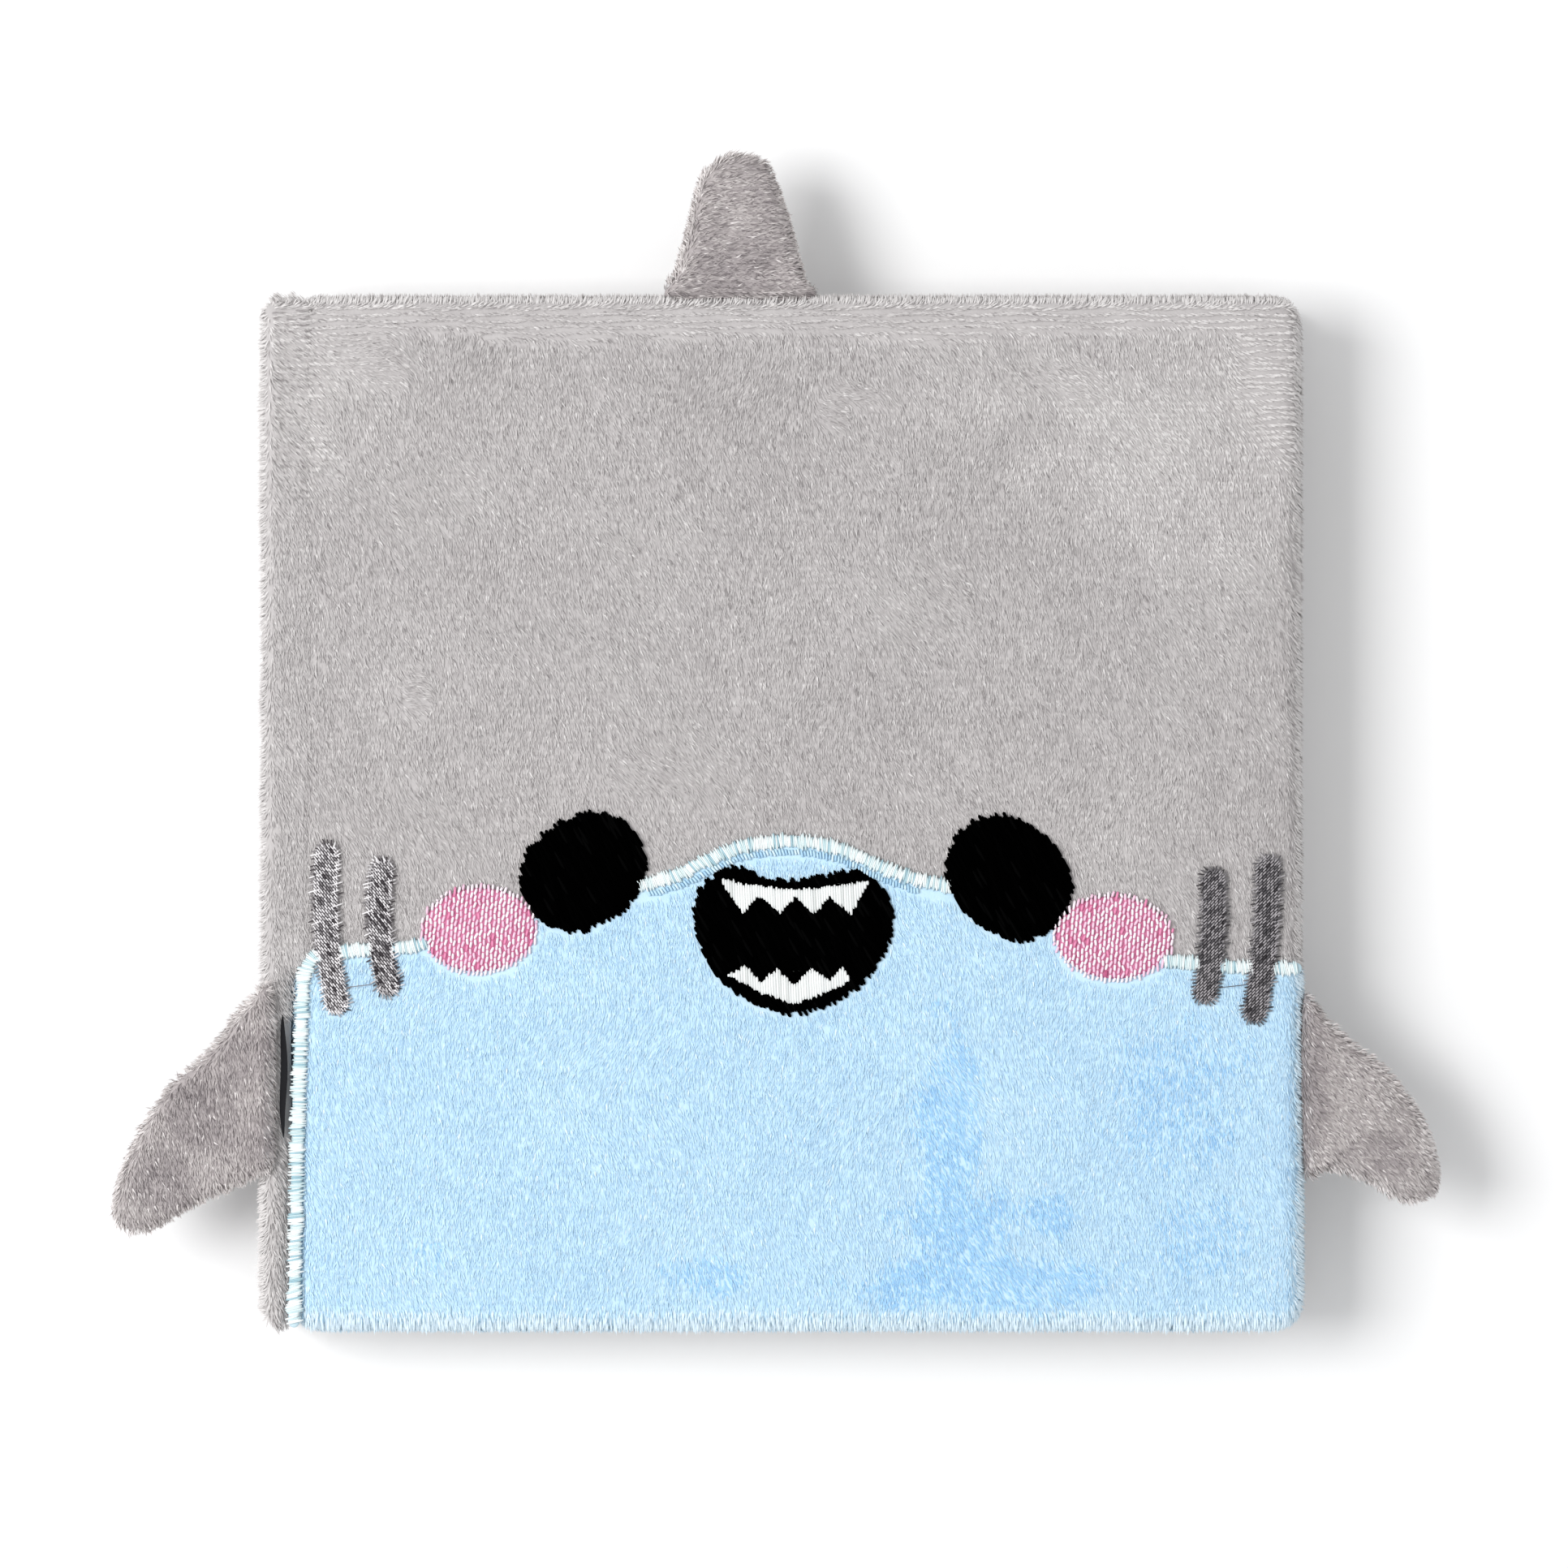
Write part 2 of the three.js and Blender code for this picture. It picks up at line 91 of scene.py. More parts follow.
# The first palette is the grey gill thread with painted glints, as it catches the light on the left gills; the right
# gills keep the darker thread.
PAINTED_GLINT_GILL_GREYS = [(0.045, 0.035, 0.042), (0.235, 0.22, 0.23), (0.54, 0.52, 0.53), (0.90, 0.88, 0.89)]
DARK_GILLS = [(0.035, 0.030, 0.034), (0.095, 0.09, 0.098), (0.20, 0.19, 0.20), (0.42, 0.40, 0.415)]


def row(points):
    """Millimetres around the cover's middle, as metres in the frame."""
    return np.asarray(points, float) * MM + MIDDLE


# ---- materials ------------------------------------------------------------------------------------
def plain(name, colour, roughness=0.8, sheen=0.0, specular=0.3):
    made = bpy.data.materials.new(name)
    made.use_nodes = True
    shader = made.node_tree.nodes["Principled BSDF"]
    shader.inputs["Base Color"].default_value = (*colour, 1)
    shader.inputs["Roughness"].default_value = roughness
    shader.inputs["Specular IOR Level"].default_value = specular
    if sheen:
        shader.inputs["Sheen Weight"].default_value = sheen
        shader.inputs["Sheen Roughness"].default_value = 0.5
    return made


def shades(name, colours, **finish):
    return [plain(f"{name}_{i}", colour, **finish) for i, colour in enumerate(colours)]


def mottled(name, dark, light, grain, roughness=0.85, sheen=0.0, bump=0.2, fine=6.0, specular=0.3):
    """A matte finish whose colour and relief vary over about a grain's width, in metres."""
    made = plain(name, light, roughness, sheen, specular)
    tree = made.node_tree
    shader = tree.nodes["Principled BSDF"]
    place = tree.nodes.new("ShaderNodeTexCoord")
    broad = tree.nodes.new("ShaderNodeTexNoise")
    broad.inputs["Scale"].default_value = 1 / grain
    broad.inputs["Detail"].default_value = 6
    ramp = tree.nodes.new("ShaderNodeValToRGB")
    ramp.color_ramp.elements[0].position = 0.3
    ramp.color_ramp.elements[1].position = 0.7
    ramp.color_ramp.elements[0].color = (*dark, 1)
    ramp.color_ramp.elements[1].color = (*light, 1)
    nap = tree.nodes.new("ShaderNodeTexNoise")
    nap.inputs["Scale"].default_value = fine / grain
    relief = tree.nodes.new("ShaderNodeBump")
    relief.inputs["Strength"].default_value = bump
    relief.inputs["Distance"].default_value = grain / fine
    for texture in (broad, nap):
        tree.links.new(place.outputs["Object"], texture.inputs["Vector"])
    tree.links.new(broad.outputs["Fac"], ramp.inputs["Fac"])
    tree.links.new(ramp.outputs["Color"], shader.inputs["Base Color"])
    tree.links.new(nap.outputs["Fac"], relief.inputs["Height"])
    tree.links.new(relief.outputs["Normal"], shader.inputs["Normal"])
    return made


GREY_PILE = shades("grey_pile", GREYS, roughness=0.95, sheen=0.1, specular=0.1)
FIN_PILE = shades("fin_pile", FIN_GREYS, roughness=0.95, sheen=0.1, specular=0.1)
BLUE_PILE = shades("blue_pile", BLUES + BRUSHED_BLUES, roughness=0.95, sheen=0.05, specular=0.1)
GREY_CLOTH = mottled("grey_backing", GREYS[1], GREYS[2], 0.004, sheen=0.1)
FIN_CLOTH = mottled("fin_backing", FIN_GREYS[1], FIN_GREYS[2], 0.004, sheen=0.1)
BLUE_CLOTH = mottled("blue_backing", BLUES[1], BLUES[3], 0.004)


# ---- outlines -------------------------------------------------------------------------------------
def smooth_path(points, count, closed=True):
    """Evenly spaced points on a smooth curve through a few."""
    p = np.asarray(points, float)
    n = len(p)
    steps = 24
    t = np.linspace(0, 1, steps, endpoint=False)[:, None]
    pieces = []
    for i in range(n if closed else n - 1):
        if closed:
            a, b, c, d = (p[(i + k - 1) % n] for k in range(4))
        else:
            a, b, c, d = (p[min(max(i + k - 1, 0), n - 1)] for k in range(4))
        pieces.append(
            0.5 * (2 * b + (c - a) * t + (2 * a - 5 * b + 4 * c - d) * t**2 + (3 * b - a - 3 * c + d) * t**3)
        )
    line = np.vstack(pieces + [p[:1] if closed else p[-1:]])
    return resample(line, count, closed)


def resample(line, count, closed=True):
    run = np.concatenate([[0], np.cumsum(np.linalg.norm(np.diff(line, axis=0), axis=1))])
    at = np.linspace(0, run[-1], count + 1)[:-1] if closed else np.linspace(0, run[-1], count)
    return np.stack([np.interp(at, run, line[:, k]) for k in range(line.shape[1])], 1)


def path_length(line):
    return float(np.linalg.norm(np.diff(line, axis=0), axis=1).sum())


def across(line, closed=True):
    """Unit vectors to the right of the way along a line, which is outwards round an anticlockwise outline."""
    if closed:
        along = np.roll(line, -1, 0) - np.roll(line, 1, 0)
    else:
        along = np.gradient(line, axis=0)
    along /= np.maximum(np.linalg.norm(along, axis=1, keepdims=True), 1e-9)
    return np.stack([along[:, 1], -along[:, 0]], 1)


def anticlockwise(line):
    x, y = line[:, 0], line[:, 1]
    area = (x * np.roll(y, -1) - np.roll(x, -1) * y).sum()
    return line if area > 0 else line[::-1]


def oval(x, y, width, height, tilt, power=2.2, count=96):
    a = np.linspace(0, 2 * math.pi, count, endpoint=False)
    c, s = np.cos(a), np.sin(a)
    u = np.sign(c) * np.abs(c) ** (2 / power) * width / 2
    v = np.sign(s) * np.abs(s) ** (2 / power) * height / 2
    t = math.radians(tilt)
    line = np.stack([x + u * math.cos(t) - v * math.sin(t), y + u * math.sin(t) + v * math.cos(t)], 1)
    return resample(np.vstack([line, line[:1]]), count)


def inside(points, outline):
    """Which points lie in a closed outline."""
    x, y = points[:, 0], points[:, 1]
    hit = np.zeros(len(points), bool)
    a, b = outline, np.roll(outline, -1, 0)
    for (ax, ay), (bx, by) in zip(a, b):
        crosses = (ay > y) != (by > y)
        if ay != by:
            hit ^= crosses & (x < (bx - ax) * (y - ay) / (by - ay) + ax)
    return hit


def grown(outline, by):
    return outline + across(outline) * by


LEFT_EYE = oval(-28.25, -8.6, 18.7, 15.3, 34)
RIGHT_EYE = oval(32.4, -9.45, 18.8, 16.0, 140.5)
LEFT_CHEEK = oval(-43.1, -16.9, 17.0, 12.9, 2, 2.0)
RIGHT_CHEEK = oval(47.3, -18.0, 17.6, 12.7, -3, 2.0)
MOUTH = anticlockwise(smooth_path([
    (-6.4, -8.0), (-10.9, -10.2), (-12.6, -14.6), (-11.5, -20.0), (-8.9, -24.0), (-4.5, -27.2), (1.0, -28.8),
    (6.5, -27.6), (11.2, -24.6), (14.6, -20.3), (16.0, -15.2), (14.7, -11.0), (10.9, -8.5), (6.6, -9.2),
    (2.0, -9.9), (-2.6, -9.3),
], 150))
UPPER_TEETH_TOP = [(-8.4, -9.5), (-4.0, -10.3), (2.0, -11.0), (8.0, -10.3), (12.3, -9.8)]
UPPER_TEETH_TIPS = [(-8.4, -10.4), (-5.7, -14.8), (-3.4, -12.2), (-0.3, -14.7), (1.9, -12.3), (4.6, -14.9),
                    (6.7, -12.2), (9.7, -14.9), (12.3, -10.4)]
LOWER_TEETH_TIPS = [(-7.6, -23.3), (-5.1, -21.8), (-3.0, -24.3), (-0.6, -22.2), (1.8, -24.6), (4.2, -22.0),
                    (6.8, -24.1), (8.7, -21.9), (9.7, -24.0)]
LOWER_TEETH_FOOT = [(-7.6, -23.4), (-3.3, -25.9), (1.5, -27.7), (6.2, -26.0), (9.7, -24.3)]
GILL_LINES = {
    "left_outer_gill": [(-64.8, -6.3), (-65.0, -14.0), (-64.5, -20.5), (-63.4, -27.2)],
    "left_inner_gill": [(-57.0, -8.4), (-57.4, -14.5), (-56.9, -20.0), (-56.1, -24.6)],
    "right_inner_gill": [(61.5, -9.9), (61.6, -15.0), (61.3, -20.5), (60.5, -25.6)],
    "right_outer_gill": [(69.4, -8.0), (69.2, -15.0), (68.6, -22.0), (67.5, -28.4)],
}
GILL_WIDTH = 3.9
BORDER_LINES = {
    "belly_border_left": [(-69.5, -72.8), (-69.2, -58.0), (-68.9, -42.0), (-68.3, -27.0), (-67.7, -22.4), (-65.6, -20.3),
                          (-60.5, -19.8), (-53.5, -19.3), (-50.7, -18.9)],
    "belly_border_middle": [(-22.5, -11.0), (-19.0, -10.3), (-14.5, -8.9), (-9.9, -6.7), (-5.9, -5.1), (-1.7, -4.4),
                            (2.0, -4.3), (6.2, -4.8), (10.0, -6.0), (14.0, -7.8), (17.9, -9.3), (25.5, -11.0)],
    "belly_border_right": [(54.4, -21.3), (57.0, -21.5), (63.2, -22.1), (73.4, -22.4)],
}
BORDER_WIDTH = 2.0
BELLY = np.array(
    [(-80.0, -90.0), (-80.0, -22.4)]
    + [tuple(p) for p in smooth_path(BORDER_LINES["belly_border_left"][4:8], 12, False)]
    + [(-36.0, -15.5)]
    + [tuple(p) for p in smooth_path(BORDER_LINES["belly_border_middle"], 30, False)]
    + [(40.0, -16.5)]
    + [tuple(p) for p in smooth_path(BORDER_LINES["belly_border_right"], 8, False)]
    + [(90.0, -22.4), (90.0, -90.0)]
)


# ---- meshes ---------------------------------------------------------------------------------------
def choose(piece):
    bpy.ops.object.select_all(action="DESELECT")
    piece.select_set(True)
    bpy.context.view_layer.objects.active = piece


def edit(piece, mode="VERT"):
    choose(piece)
    bpy.ops.object.mode_set(mode="EDIT")
    bpy.ops.mesh.select_mode(type=mode)
    bpy.ops.mesh.select_all(action="DESELECT")


def stop_editing():
    bpy.ops.object.mode_set(mode="OBJECT")


def corners(piece):
    co = np.empty(len(piece.data.vertices) * 3, np.float32)
    piece.data.vertices.foreach_get("co", co)
    return co.reshape(-1, 3).astype(float)


def move_corners(piece, points):
    piece.data.vertices.foreach_set("co", np.asarray(points, np.float32).ravel())
    piece.data.update()


def modify(piece, kind, **settings):
    choose(piece)
    modifier = piece.modifiers.new(kind.lower(), kind)
    for key, value in settings.items():
        setattr(modifier, key, value)
    bpy.ops.object.modifier_apply(modifier=modifier.name)


def named(piece, name, *materials):
    piece.name = name
    piece.data.name = name
    piece.data.materials.clear()
    for material in materials:
        piece.data.materials.append(material)
    return piece


def soft_shading(piece):
    piece.data.polygons.foreach_set("use_smooth", np.ones(len(piece.data.polygons), bool))
    piece.data.update()


def woven(name, points, faces, materials, shade=None):
    """A mesh piece straight from arrays: points in millimetres, faces of equal corner count."""
    mesh = bpy.data.meshes.new(name)
    faces = np.asarray(faces, np.int32)
    sides = faces.shape[1]
    mesh.vertices.add(len(points))
    mesh.vertices.foreach_set("co", row(points).astype(np.float32).ravel())
    mesh.loops.add(faces.size)
    mesh.loops.foreach_set("vertex_index", faces.ravel())
    mesh.polygons.add(len(faces))
    mesh.polygons.foreach_set("loop_start", np.arange(0, faces.size, sides, dtype=np.int32))
    mesh.polygons.foreach_set("use_smooth", np.ones(len(faces), bool))
    for material in materials:
        mesh.materials.append(material)
    if shade is not None:
        mesh.polygons.foreach_set("material_index", np.asarray(shade, np.int32))
    mesh.update(calc_edges=True)
    made = bpy.data.objects.new(name, mesh)
    bpy.context.scene.collection.objects.link(made)
    return made


def skin_of(piece):
    """A piece's triangles in millimetres, to plant pile on: corners, their normals, triangles."""
    mesh = piece.data
    mesh.calc_loop_triangles()
    tris = np.empty(len(mesh.loop_triangles) * 3, np.int32)
    mesh.loop_triangles.foreach_get("vertices", tris)
    normals = np.empty(len(mesh.vertices) * 3, np.float32)
    mesh.vertex_normals.foreach_get("vector", normals)
    return (corners(piece) - MIDDLE) / MM, normals.reshape(-1, 3).astype(float), tris.reshape(-1, 3)


# ---- pile -----------------------------------------------------------------------------------------
def waves(points, size, seed, octaves=2):
    """A smooth random field from about -1 to 1 over the cover, one bump per size."""
    rng = np.random.default_rng(seed)
    total = np.zeros(len(points))
    for octave in range(octaves):
        part = np.zeros(len(points))
        for _ in range(9):
            way = rng.normal(size=3)
            way *= 2 * math.pi / (size / 2**octave * rng.uniform(0.7, 1.6)) / np.linalg.norm(way)
            part += np.sin(points @ way + rng.uniform(0, 2 * math.pi))
        total += part / 3 / 2**octave
    return total / 1.5


def unit(v):
    return v / np.maximum(np.linalg.norm(v, axis=-1, keepdims=True), 1e-9)


def scatter(skin, per_mm2, rng):
    points, normals, tris = skin
    a, b, c = (points[tris[:, k]] for k in range(3))
    area = np.linalg.norm(np.cross(b - a, c - a), axis=1) / 2
    count = int(area.sum() * per_mm2)
    pick = rng.choice(len(tris), size=count, p=area / area.sum())
    u, v = rng.random(count), rng.random(count)
    flip = u + v > 1
    u[flip], v[flip] = 1 - u[flip], 1 - v[flip]
    share = np.stack([1 - u - v, u, v], 1)[:, :, None]
    chosen = tris[pick]
    return (points[chosen] * share).sum(1), unit((normals[chosen] * share).sum(1))


def grow(name, body, roots, normals, nap, length, lift, materials, rng, shade, width=0.21, roll=0.28):
    """Plants one tapering bent tuft per root and returns the pieces, each small enough to keep whole.

    nap is the way a tuft lies, lift the angle in radians at which it leaves the cloth.
    """
    count = len(roots)
    flat = unit(nap - normals * (nap * normals).sum(1, keepdims=True))
    rise = lift + rng.normal(0, 0.07, count)
    low = rise * 0.5
    out = flat * np.cos(rise)[:, None] + normals * np.sin(rise)[:, None]
    over = flat * np.cos(low)[:, None] + normals * np.sin(low)[:, None]
    side = unit(np.cross(flat, normals))
    turn = rng.normal(0, roll, count)
    side = unit(side * np.cos(turn)[:, None] + np.cross(out, side) * np.sin(turn)[:, None])
    long = (length * rng.uniform(0.75, 1.2, count))[:, None]
    wide = (width * rng.uniform(0.75, 1.2, count))[:, None]
    start = roots - normals * 0.12
    middle = start + out * long * 0.42
    tip = middle + over * long * 0.58
    points = np.stack([start, middle + side * wide / 2, middle - side * wide / 2, tip], 1)
    most = 96000
    pieces = []
    parts = max(1, math.ceil(count / most))
    order = np.argsort(roots[:, 0], kind="stable")
    for k, some in enumerate(np.array_split(order, parts)):
        base = np.arange(len(some), dtype=np.int32)[:, None] * 4
        faces = np.stack([base + [0, 1, 2], base + [2, 1, 3]], 1).reshape(-1, 3)
        piece = woven(f"{name}_{k + 1}" if parts > 1 else name, points[some].reshape(-1, 3), faces, materials,
                      np.repeat(shade[some], 2))
        if body:
            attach(piece, body)
        pieces.append(piece)
    return pieces


def speckle(count, rng, bias=0.0, spread=0.6, dark=0.02, light=0.03):
    """Shade numbers 0 to 4, mostly the middle one, with a few dark and light tufts."""
    value = 2 + bias + rng.normal(0, spread, count)
    bias = np.broadcast_to(bias, count)
    value = np.clip(value, np.where(bias < -1.4, 0, 1), np.where(bias > 0.6, 4, 3))
    chance = rng.random(count)
    value = np.where((chance < dark) & (bias < 1), 0, value)
    value = np.where(chance > 1 - light, 4, value)
    return np.rint(value).astype(np.int32)


# ---- threads --------------------------------------------------------------------------------------
def stitches(name, starts, ends, materials, shade, base=STITCH_BASE, rise=STITCH_RISE, width=THREAD,
             body="front_cover", dip=0.55, taper=0.55):
    """Raised threads from start to end, each diving into the cloth at both ends."""
    starts, ends = np.asarray(starts, float), np.asarray(ends, float)
    count = len(starts)
    base = np.broadcast_to(np.asarray(base, float), count)
    rise = np.broadcast_to(np.asarray(rise, float), count)
    along = unit(ends - starts)
    side = np.stack([along[:, 1], -along[:, 0]], 1)
    stations = np.array([0.0, 0.1, 0.3, 0.55, 0.8, 0.92, 1.0])
    arch = np.array([-dip, 0.62, 0.95, 1.0, 0.93, 0.6, -dip])
    girth = np.array([taper, 0.9, 1.0, 1.0, 1.0, 0.9, taper])
    spine = starts[:, None] + (ends - starts)[:, None] * stations[None, :, None]
    lift = base[:, None] + rise[:, None] * arch[None]
    rows_ = []
    for reach, drop in ((0.5, 0.8), (0.28, 0.18), (0.0, 0.0), (-0.28, 0.18), (-0.5, 0.8)):
        flat = spine + side[:, None] * (reach * width * girth)[None, :, None]
        rows_.append(np.concatenate([flat, (lift - drop * rise[:, None])[..., None]], 2))
    points = np.stack(rows_, 2)
    n, m = len(stations), len(rows_)
    first = np.arange(count, dtype=np.int32)[:, None, None] * n * m
    i, j = np.meshgrid(np.arange(n - 1), np.arange(m - 1), indexing="ij")
    a = (i * m + j)[None]
    quads = np.stack([first + a, first + a + m, first + a + m + 1, first + a + 1], -1)
    faces = quads[..., ::-1].reshape(-1, 4)
    piece = woven(name, points.reshape(-1, 3), faces, materials, np.repeat(shade, (n - 1) * (m - 1)))
    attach(piece, body)
    return piece


def fill(outline, angle, pitch, length, rng, brick=0.5, holes=(), slack=0.0):
    """Parallel rows of stitches inside an outline, laid like bricks: starts and ends."""
    t = math.radians(angle)
    turn = np.array([[math.cos(t), math.sin(t)], [-math.sin(t), math.cos(t)]])
    local = outline @ turn.T
    starts, ends = [], []
    a, b = local, np.roll(local, -1, 0)
    for k, v in enumerate(np.arange(local[:, 1].min() + pitch / 2, local[:, 1].max(), pitch)):
        crossing = (a[:, 1] > v) != (b[:, 1] > v)
        at = a[crossing, 0] + (v - a[crossing, 1]) * (b[crossing, 0] - a[crossing, 0]) / (
            b[crossing, 1] - a[crossing, 1]
        )
        at.sort()
        for low, high in zip(at[0::2], at[1::2]):
            offset = length * ((k * brick) % 1.0) + rng.normal(0, length * 0.04)
            cuts = np.arange(math.floor((low - offset) / length), math.ceil((high - offset) / length) + 1)
            cuts = cuts * length + offset
            cuts = cuts[(cuts > low + length * 0.25) & (cuts < high - length * 0.25)]
            marks = np.concatenate([[low - rng.uniform(0, slack)], cuts, [high + rng.uniform(0, slack)]])
            for u0, u1 in zip(marks[:-1], marks[1:]):
                wander = rng.normal(0, pitch * 0.09, 2)
                starts.append((u0, v + wander[0]))
                ends.append((u1, v + wander[1]))
    return np.array(starts) @ turn, np.array(ends) @ turn


def rim(outline, pitch, reach_in, reach_out, rng, ragged=0.3, tilt=0.25):
    """Satin stitches across an outline, all round."""
    closed = np.vstack([outline, outline[:1]])
    count = int(path_length(closed) / pitch)
    line = resample(closed, count)
    out = across(line)
    way = unit(out + tilt * np.stack([-out[:, 1], out[:, 0]], 1))
    ends = line + way * (reach_out + rng.uniform(-ragged, ragged, count))[:, None]
    starts = line - way * (reach_in + rng.uniform(-ragged, ragged, count))[:, None]
    return starts, ends


def satin(line, width, pitch, rng, tilt=0.3, ragged=0.35):
    """Stitches across an open path."""
    count = int(path_length(line) / pitch)
    at = resample(line, count, False)
    out = across(at, False)
    along = np.stack([-out[:, 1], out[:, 0]], 1)
    tilt = np.broadcast_to(tilt, count)
    way = unit(out + tilt[:, None] * along + rng.normal(0, 0.05, (count, 2)))
    half = width / 2 * np.sqrt(1 + tilt**2)
    starts = at - way * (half + rng.uniform(-ragged, ragged, count) * 0.7)[:, None]
    ends = at + way * (half + rng.uniform(-ragged, ragged, count) * 0.7)[:, None]
    return starts, ends


def pad(name, outline, low, high, material, node=None, body="front_cover"):
    """The underlay that lifts a patch of embroidery: a low block with an eased top edge."""
    bpy.ops.mesh.primitive_circle_add(vertices=len(outline), fill_type="NGON")
    piece = bpy.context.object
    move_corners(piece, row(np.column_stack([outline, np.full(len(outline), low)])))
    edit(piece, "FACE")
    bpy.ops.mesh.select_all(action="SELECT")
    bpy.ops.mesh.extrude_region_move(TRANSFORM_OT_translate={"value": (0, 0, (high - low) * 0.7 * MM)})
    bpy.ops.mesh.inset(thickness=0.35 * MM, depth=(high - low) * 0.3 * MM)
    stop_editing()
    piece = named(piece, name, material)
    edit(piece)
    bpy.ops.mesh.select_all(action="SELECT")
    bpy.ops.mesh.normals_make_consistent(inside=False)
    stop_editing()
    soft_shading(piece)
    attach(piece, body)
    if node:
        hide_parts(node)
    return piece


# ---- padded cloth ---------------------------------------------------------------------------------
FRONT_EDGE = [(2.6, FACE - 1.25), (1.5, FACE - 1.55), (0.75, FACE - 2.2), (0.3, FACE - 3.2), (0.15, FACE - 4.3),
              (0.35, FACE - 5.3), (1.0, FACE - 6.0), (2.4, INSIDE + 0.1), (7.0, INSIDE + 0.06), (12.0, INSIDE + 0.06)]


def quilt(name, rings, material, node, body, left=GROOVE, flip=False, cells=44):
    """Cloth over wadding: a sheet whose edge is drawn over the board ring by ring and turned in below.

    rings are (how far in from the cover's edge, height), from the face round to the turn-in.
    """
    reach = PILE_DEPTH * 0.85
    half_x = (HALF_WIDTH - left) / 2 - reach
    half_y = (TOP - BOTTOM) / 2 - reach
    centre = np.array([(HALF_WIDTH + left) / 2, (TOP + BOTTOM) / 2])
    bpy.ops.mesh.primitive_grid_add(x_subdivisions=cells, y_subdivisions=cells, size=2)
    piece = bpy.context.object
    inset, height = rings[0]
    flat = corners(piece) * [half_x - inset, half_y - inset, 0] + [0, 0, height]
    move_corners(piece, flat * MM)
    edit(piece, "EDGE")
    bpy.ops.mesh.select_non_manifold()
    for (before, z0), (after, z1) in zip(rings[:-1], rings[1:]):
        bpy.ops.mesh.extrude_edges_move(TRANSFORM_OT_translate={"value": (0, 0, (z1 - z0) * MM)})
        bpy.ops.transform.resize(
            value=((half_x - after) / (half_x - before), (half_y - after) / (half_y - before), 1),
            center_override=(0, 0, z1 * MM),
        )
    stop_editing()
    points = corners(piece) / MM
    past = np.abs(points[:, :2]) - np.array([half_x, half_y]) + CORNER
    bent = (past > 0).all(1)
    square = past[bent].max(1) / np.maximum(np.linalg.norm(past[bent], axis=1), 1e-6)
    signs = np.sign(points[bent, :2])
    points[bent, :2] = signs * (np.array([half_x, half_y]) - CORNER + past[bent] * square[:, None])
    points[:, :2] += centre
    if flip:
        points[:, 2] = FACE - points[:, 2]
    crown = 0.35 * waves(points, 34, 5) + 0.12 * waves(points, 11, 6)
    face = points[:, 2] > FACE - 2 if not flip else points[:, 2] < 2
    points[:, 2] += np.where(face, np.abs(crown) * (-0.5 if flip else 0.5) * 0.6, 0)
    move_corners(piece, row(points))
    edit(piece)
    bpy.ops.mesh.select_all(action="SELECT")
    bpy.ops.mesh.normals_make_consistent(inside=False)
    stop_editing()
    if (skin_of(piece)[1][np.argmax(np.abs(corners(piece)[:, 2]))][2] > 0) == flip:
        piece.data.flip_normals()
    modify(piece, "SUBSURF", levels=1, render_levels=1)
    skin = skin_of(piece)
    modify(piece, "SOLIDIFY", thickness=0.6 * MM, offset=-1)
    piece = named(piece, name, material)
    soft_shading(piece)
    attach(piece, body)
    if node:
        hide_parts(node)
    return piece, skin


front_cloth, front_skin = quilt("front_cover_cloth", FRONT_EDGE, GREY_CLOTH, "front_plush", "front_cover")
back_cloth, back_skin = quilt("back_cover_cloth", FRONT_EDGE, GREY_CLOTH, "back_plush", "back_cover", flip=True)

# The belly: a second cloth over the first, cut along the embroidered line.
belly_cloth, _ = quilt("belly_cloth", FRONT_EDGE, BLUE_CLOTH, "belly_panel", "front_cover")


def cut_to(piece, outline, low, high):
    bpy.ops.mesh.primitive_circle_add(vertices=len(outline), fill_type="NGON")
    cutter = bpy.context.object
    move_corners(cutter, row(np.column_stack([outline, np.full(len(outline), low)])))
    edit(cutter, "FACE")
    bpy.ops.mesh.select_all(action="SELECT")
    bpy.ops.mesh.extrude_region_move(TRANSFORM_OT_translate={"value": (0, 0, (high - low) * MM)})
    bpy.ops.mesh.select_all(action="SELECT")
    bpy.ops.mesh.normals_make_consistent(inside=False)
    stop_editing()
    modify(piece, "BOOLEAN", operation="INTERSECT", object=cutter, solver="EXACT")
    bpy.data.objects.remove(cutter)


def swollen(piece, by):
    """Moves a cloth out along its own normals, so that it lies over the one below."""
    normals = np.empty(len(piece.data.vertices) * 3, np.float32)
    piece.data.vertex_normals.foreach_get("vector", normals)
    centre = row([(0, 0, (FACE + INSIDE) / 2)])[0]
    points = corners(piece)
    out = unit(points - centre)
    lift = np.where(points[:, 2:] > (FACE - 2.4) * MM, [[0, 0, 1]], out * [[1, 1, 0]])
    move_corners(piece, points + lift * by * MM)


swollen(belly_cloth, 0.25)
cut_to(belly_cloth, BELLY, INSIDE - 3, FACE + 3)

# ---- pile on the covers ---------------------------------------------------------------------------
EMBROIDERY = [grown(LEFT_EYE, 0.1), grown(RIGHT_EYE, 0.1), grown(LEFT_CHEEK, 0.05), grown(RIGHT_CHEEK, 0.05),
              grown(MOUTH, 0.1)]


def bar(line, width, count=40):
    """The outline of a bar with rounded ends along an open line."""
    at = resample(line, count, False)
    out = across(at, False) * width / 2
    ends = []
    for point, way, sign in ((at[-1], at[-1] - at[-2], 1), (at[0], at[0] - at[1], 1)):
        way = way / np.linalg.norm(way) * width / 2
        side = np.array([way[1], -way[0]])
        a = np.linspace(0, math.pi, 9)[1:-1]
        ends.append(point + np.cos(a)[:, None] * side + np.sin(a)[:, None] * way)
    return anticlockwise(np.vstack([at + out, ends[0], (at - out)[::-1], ends[1]]))


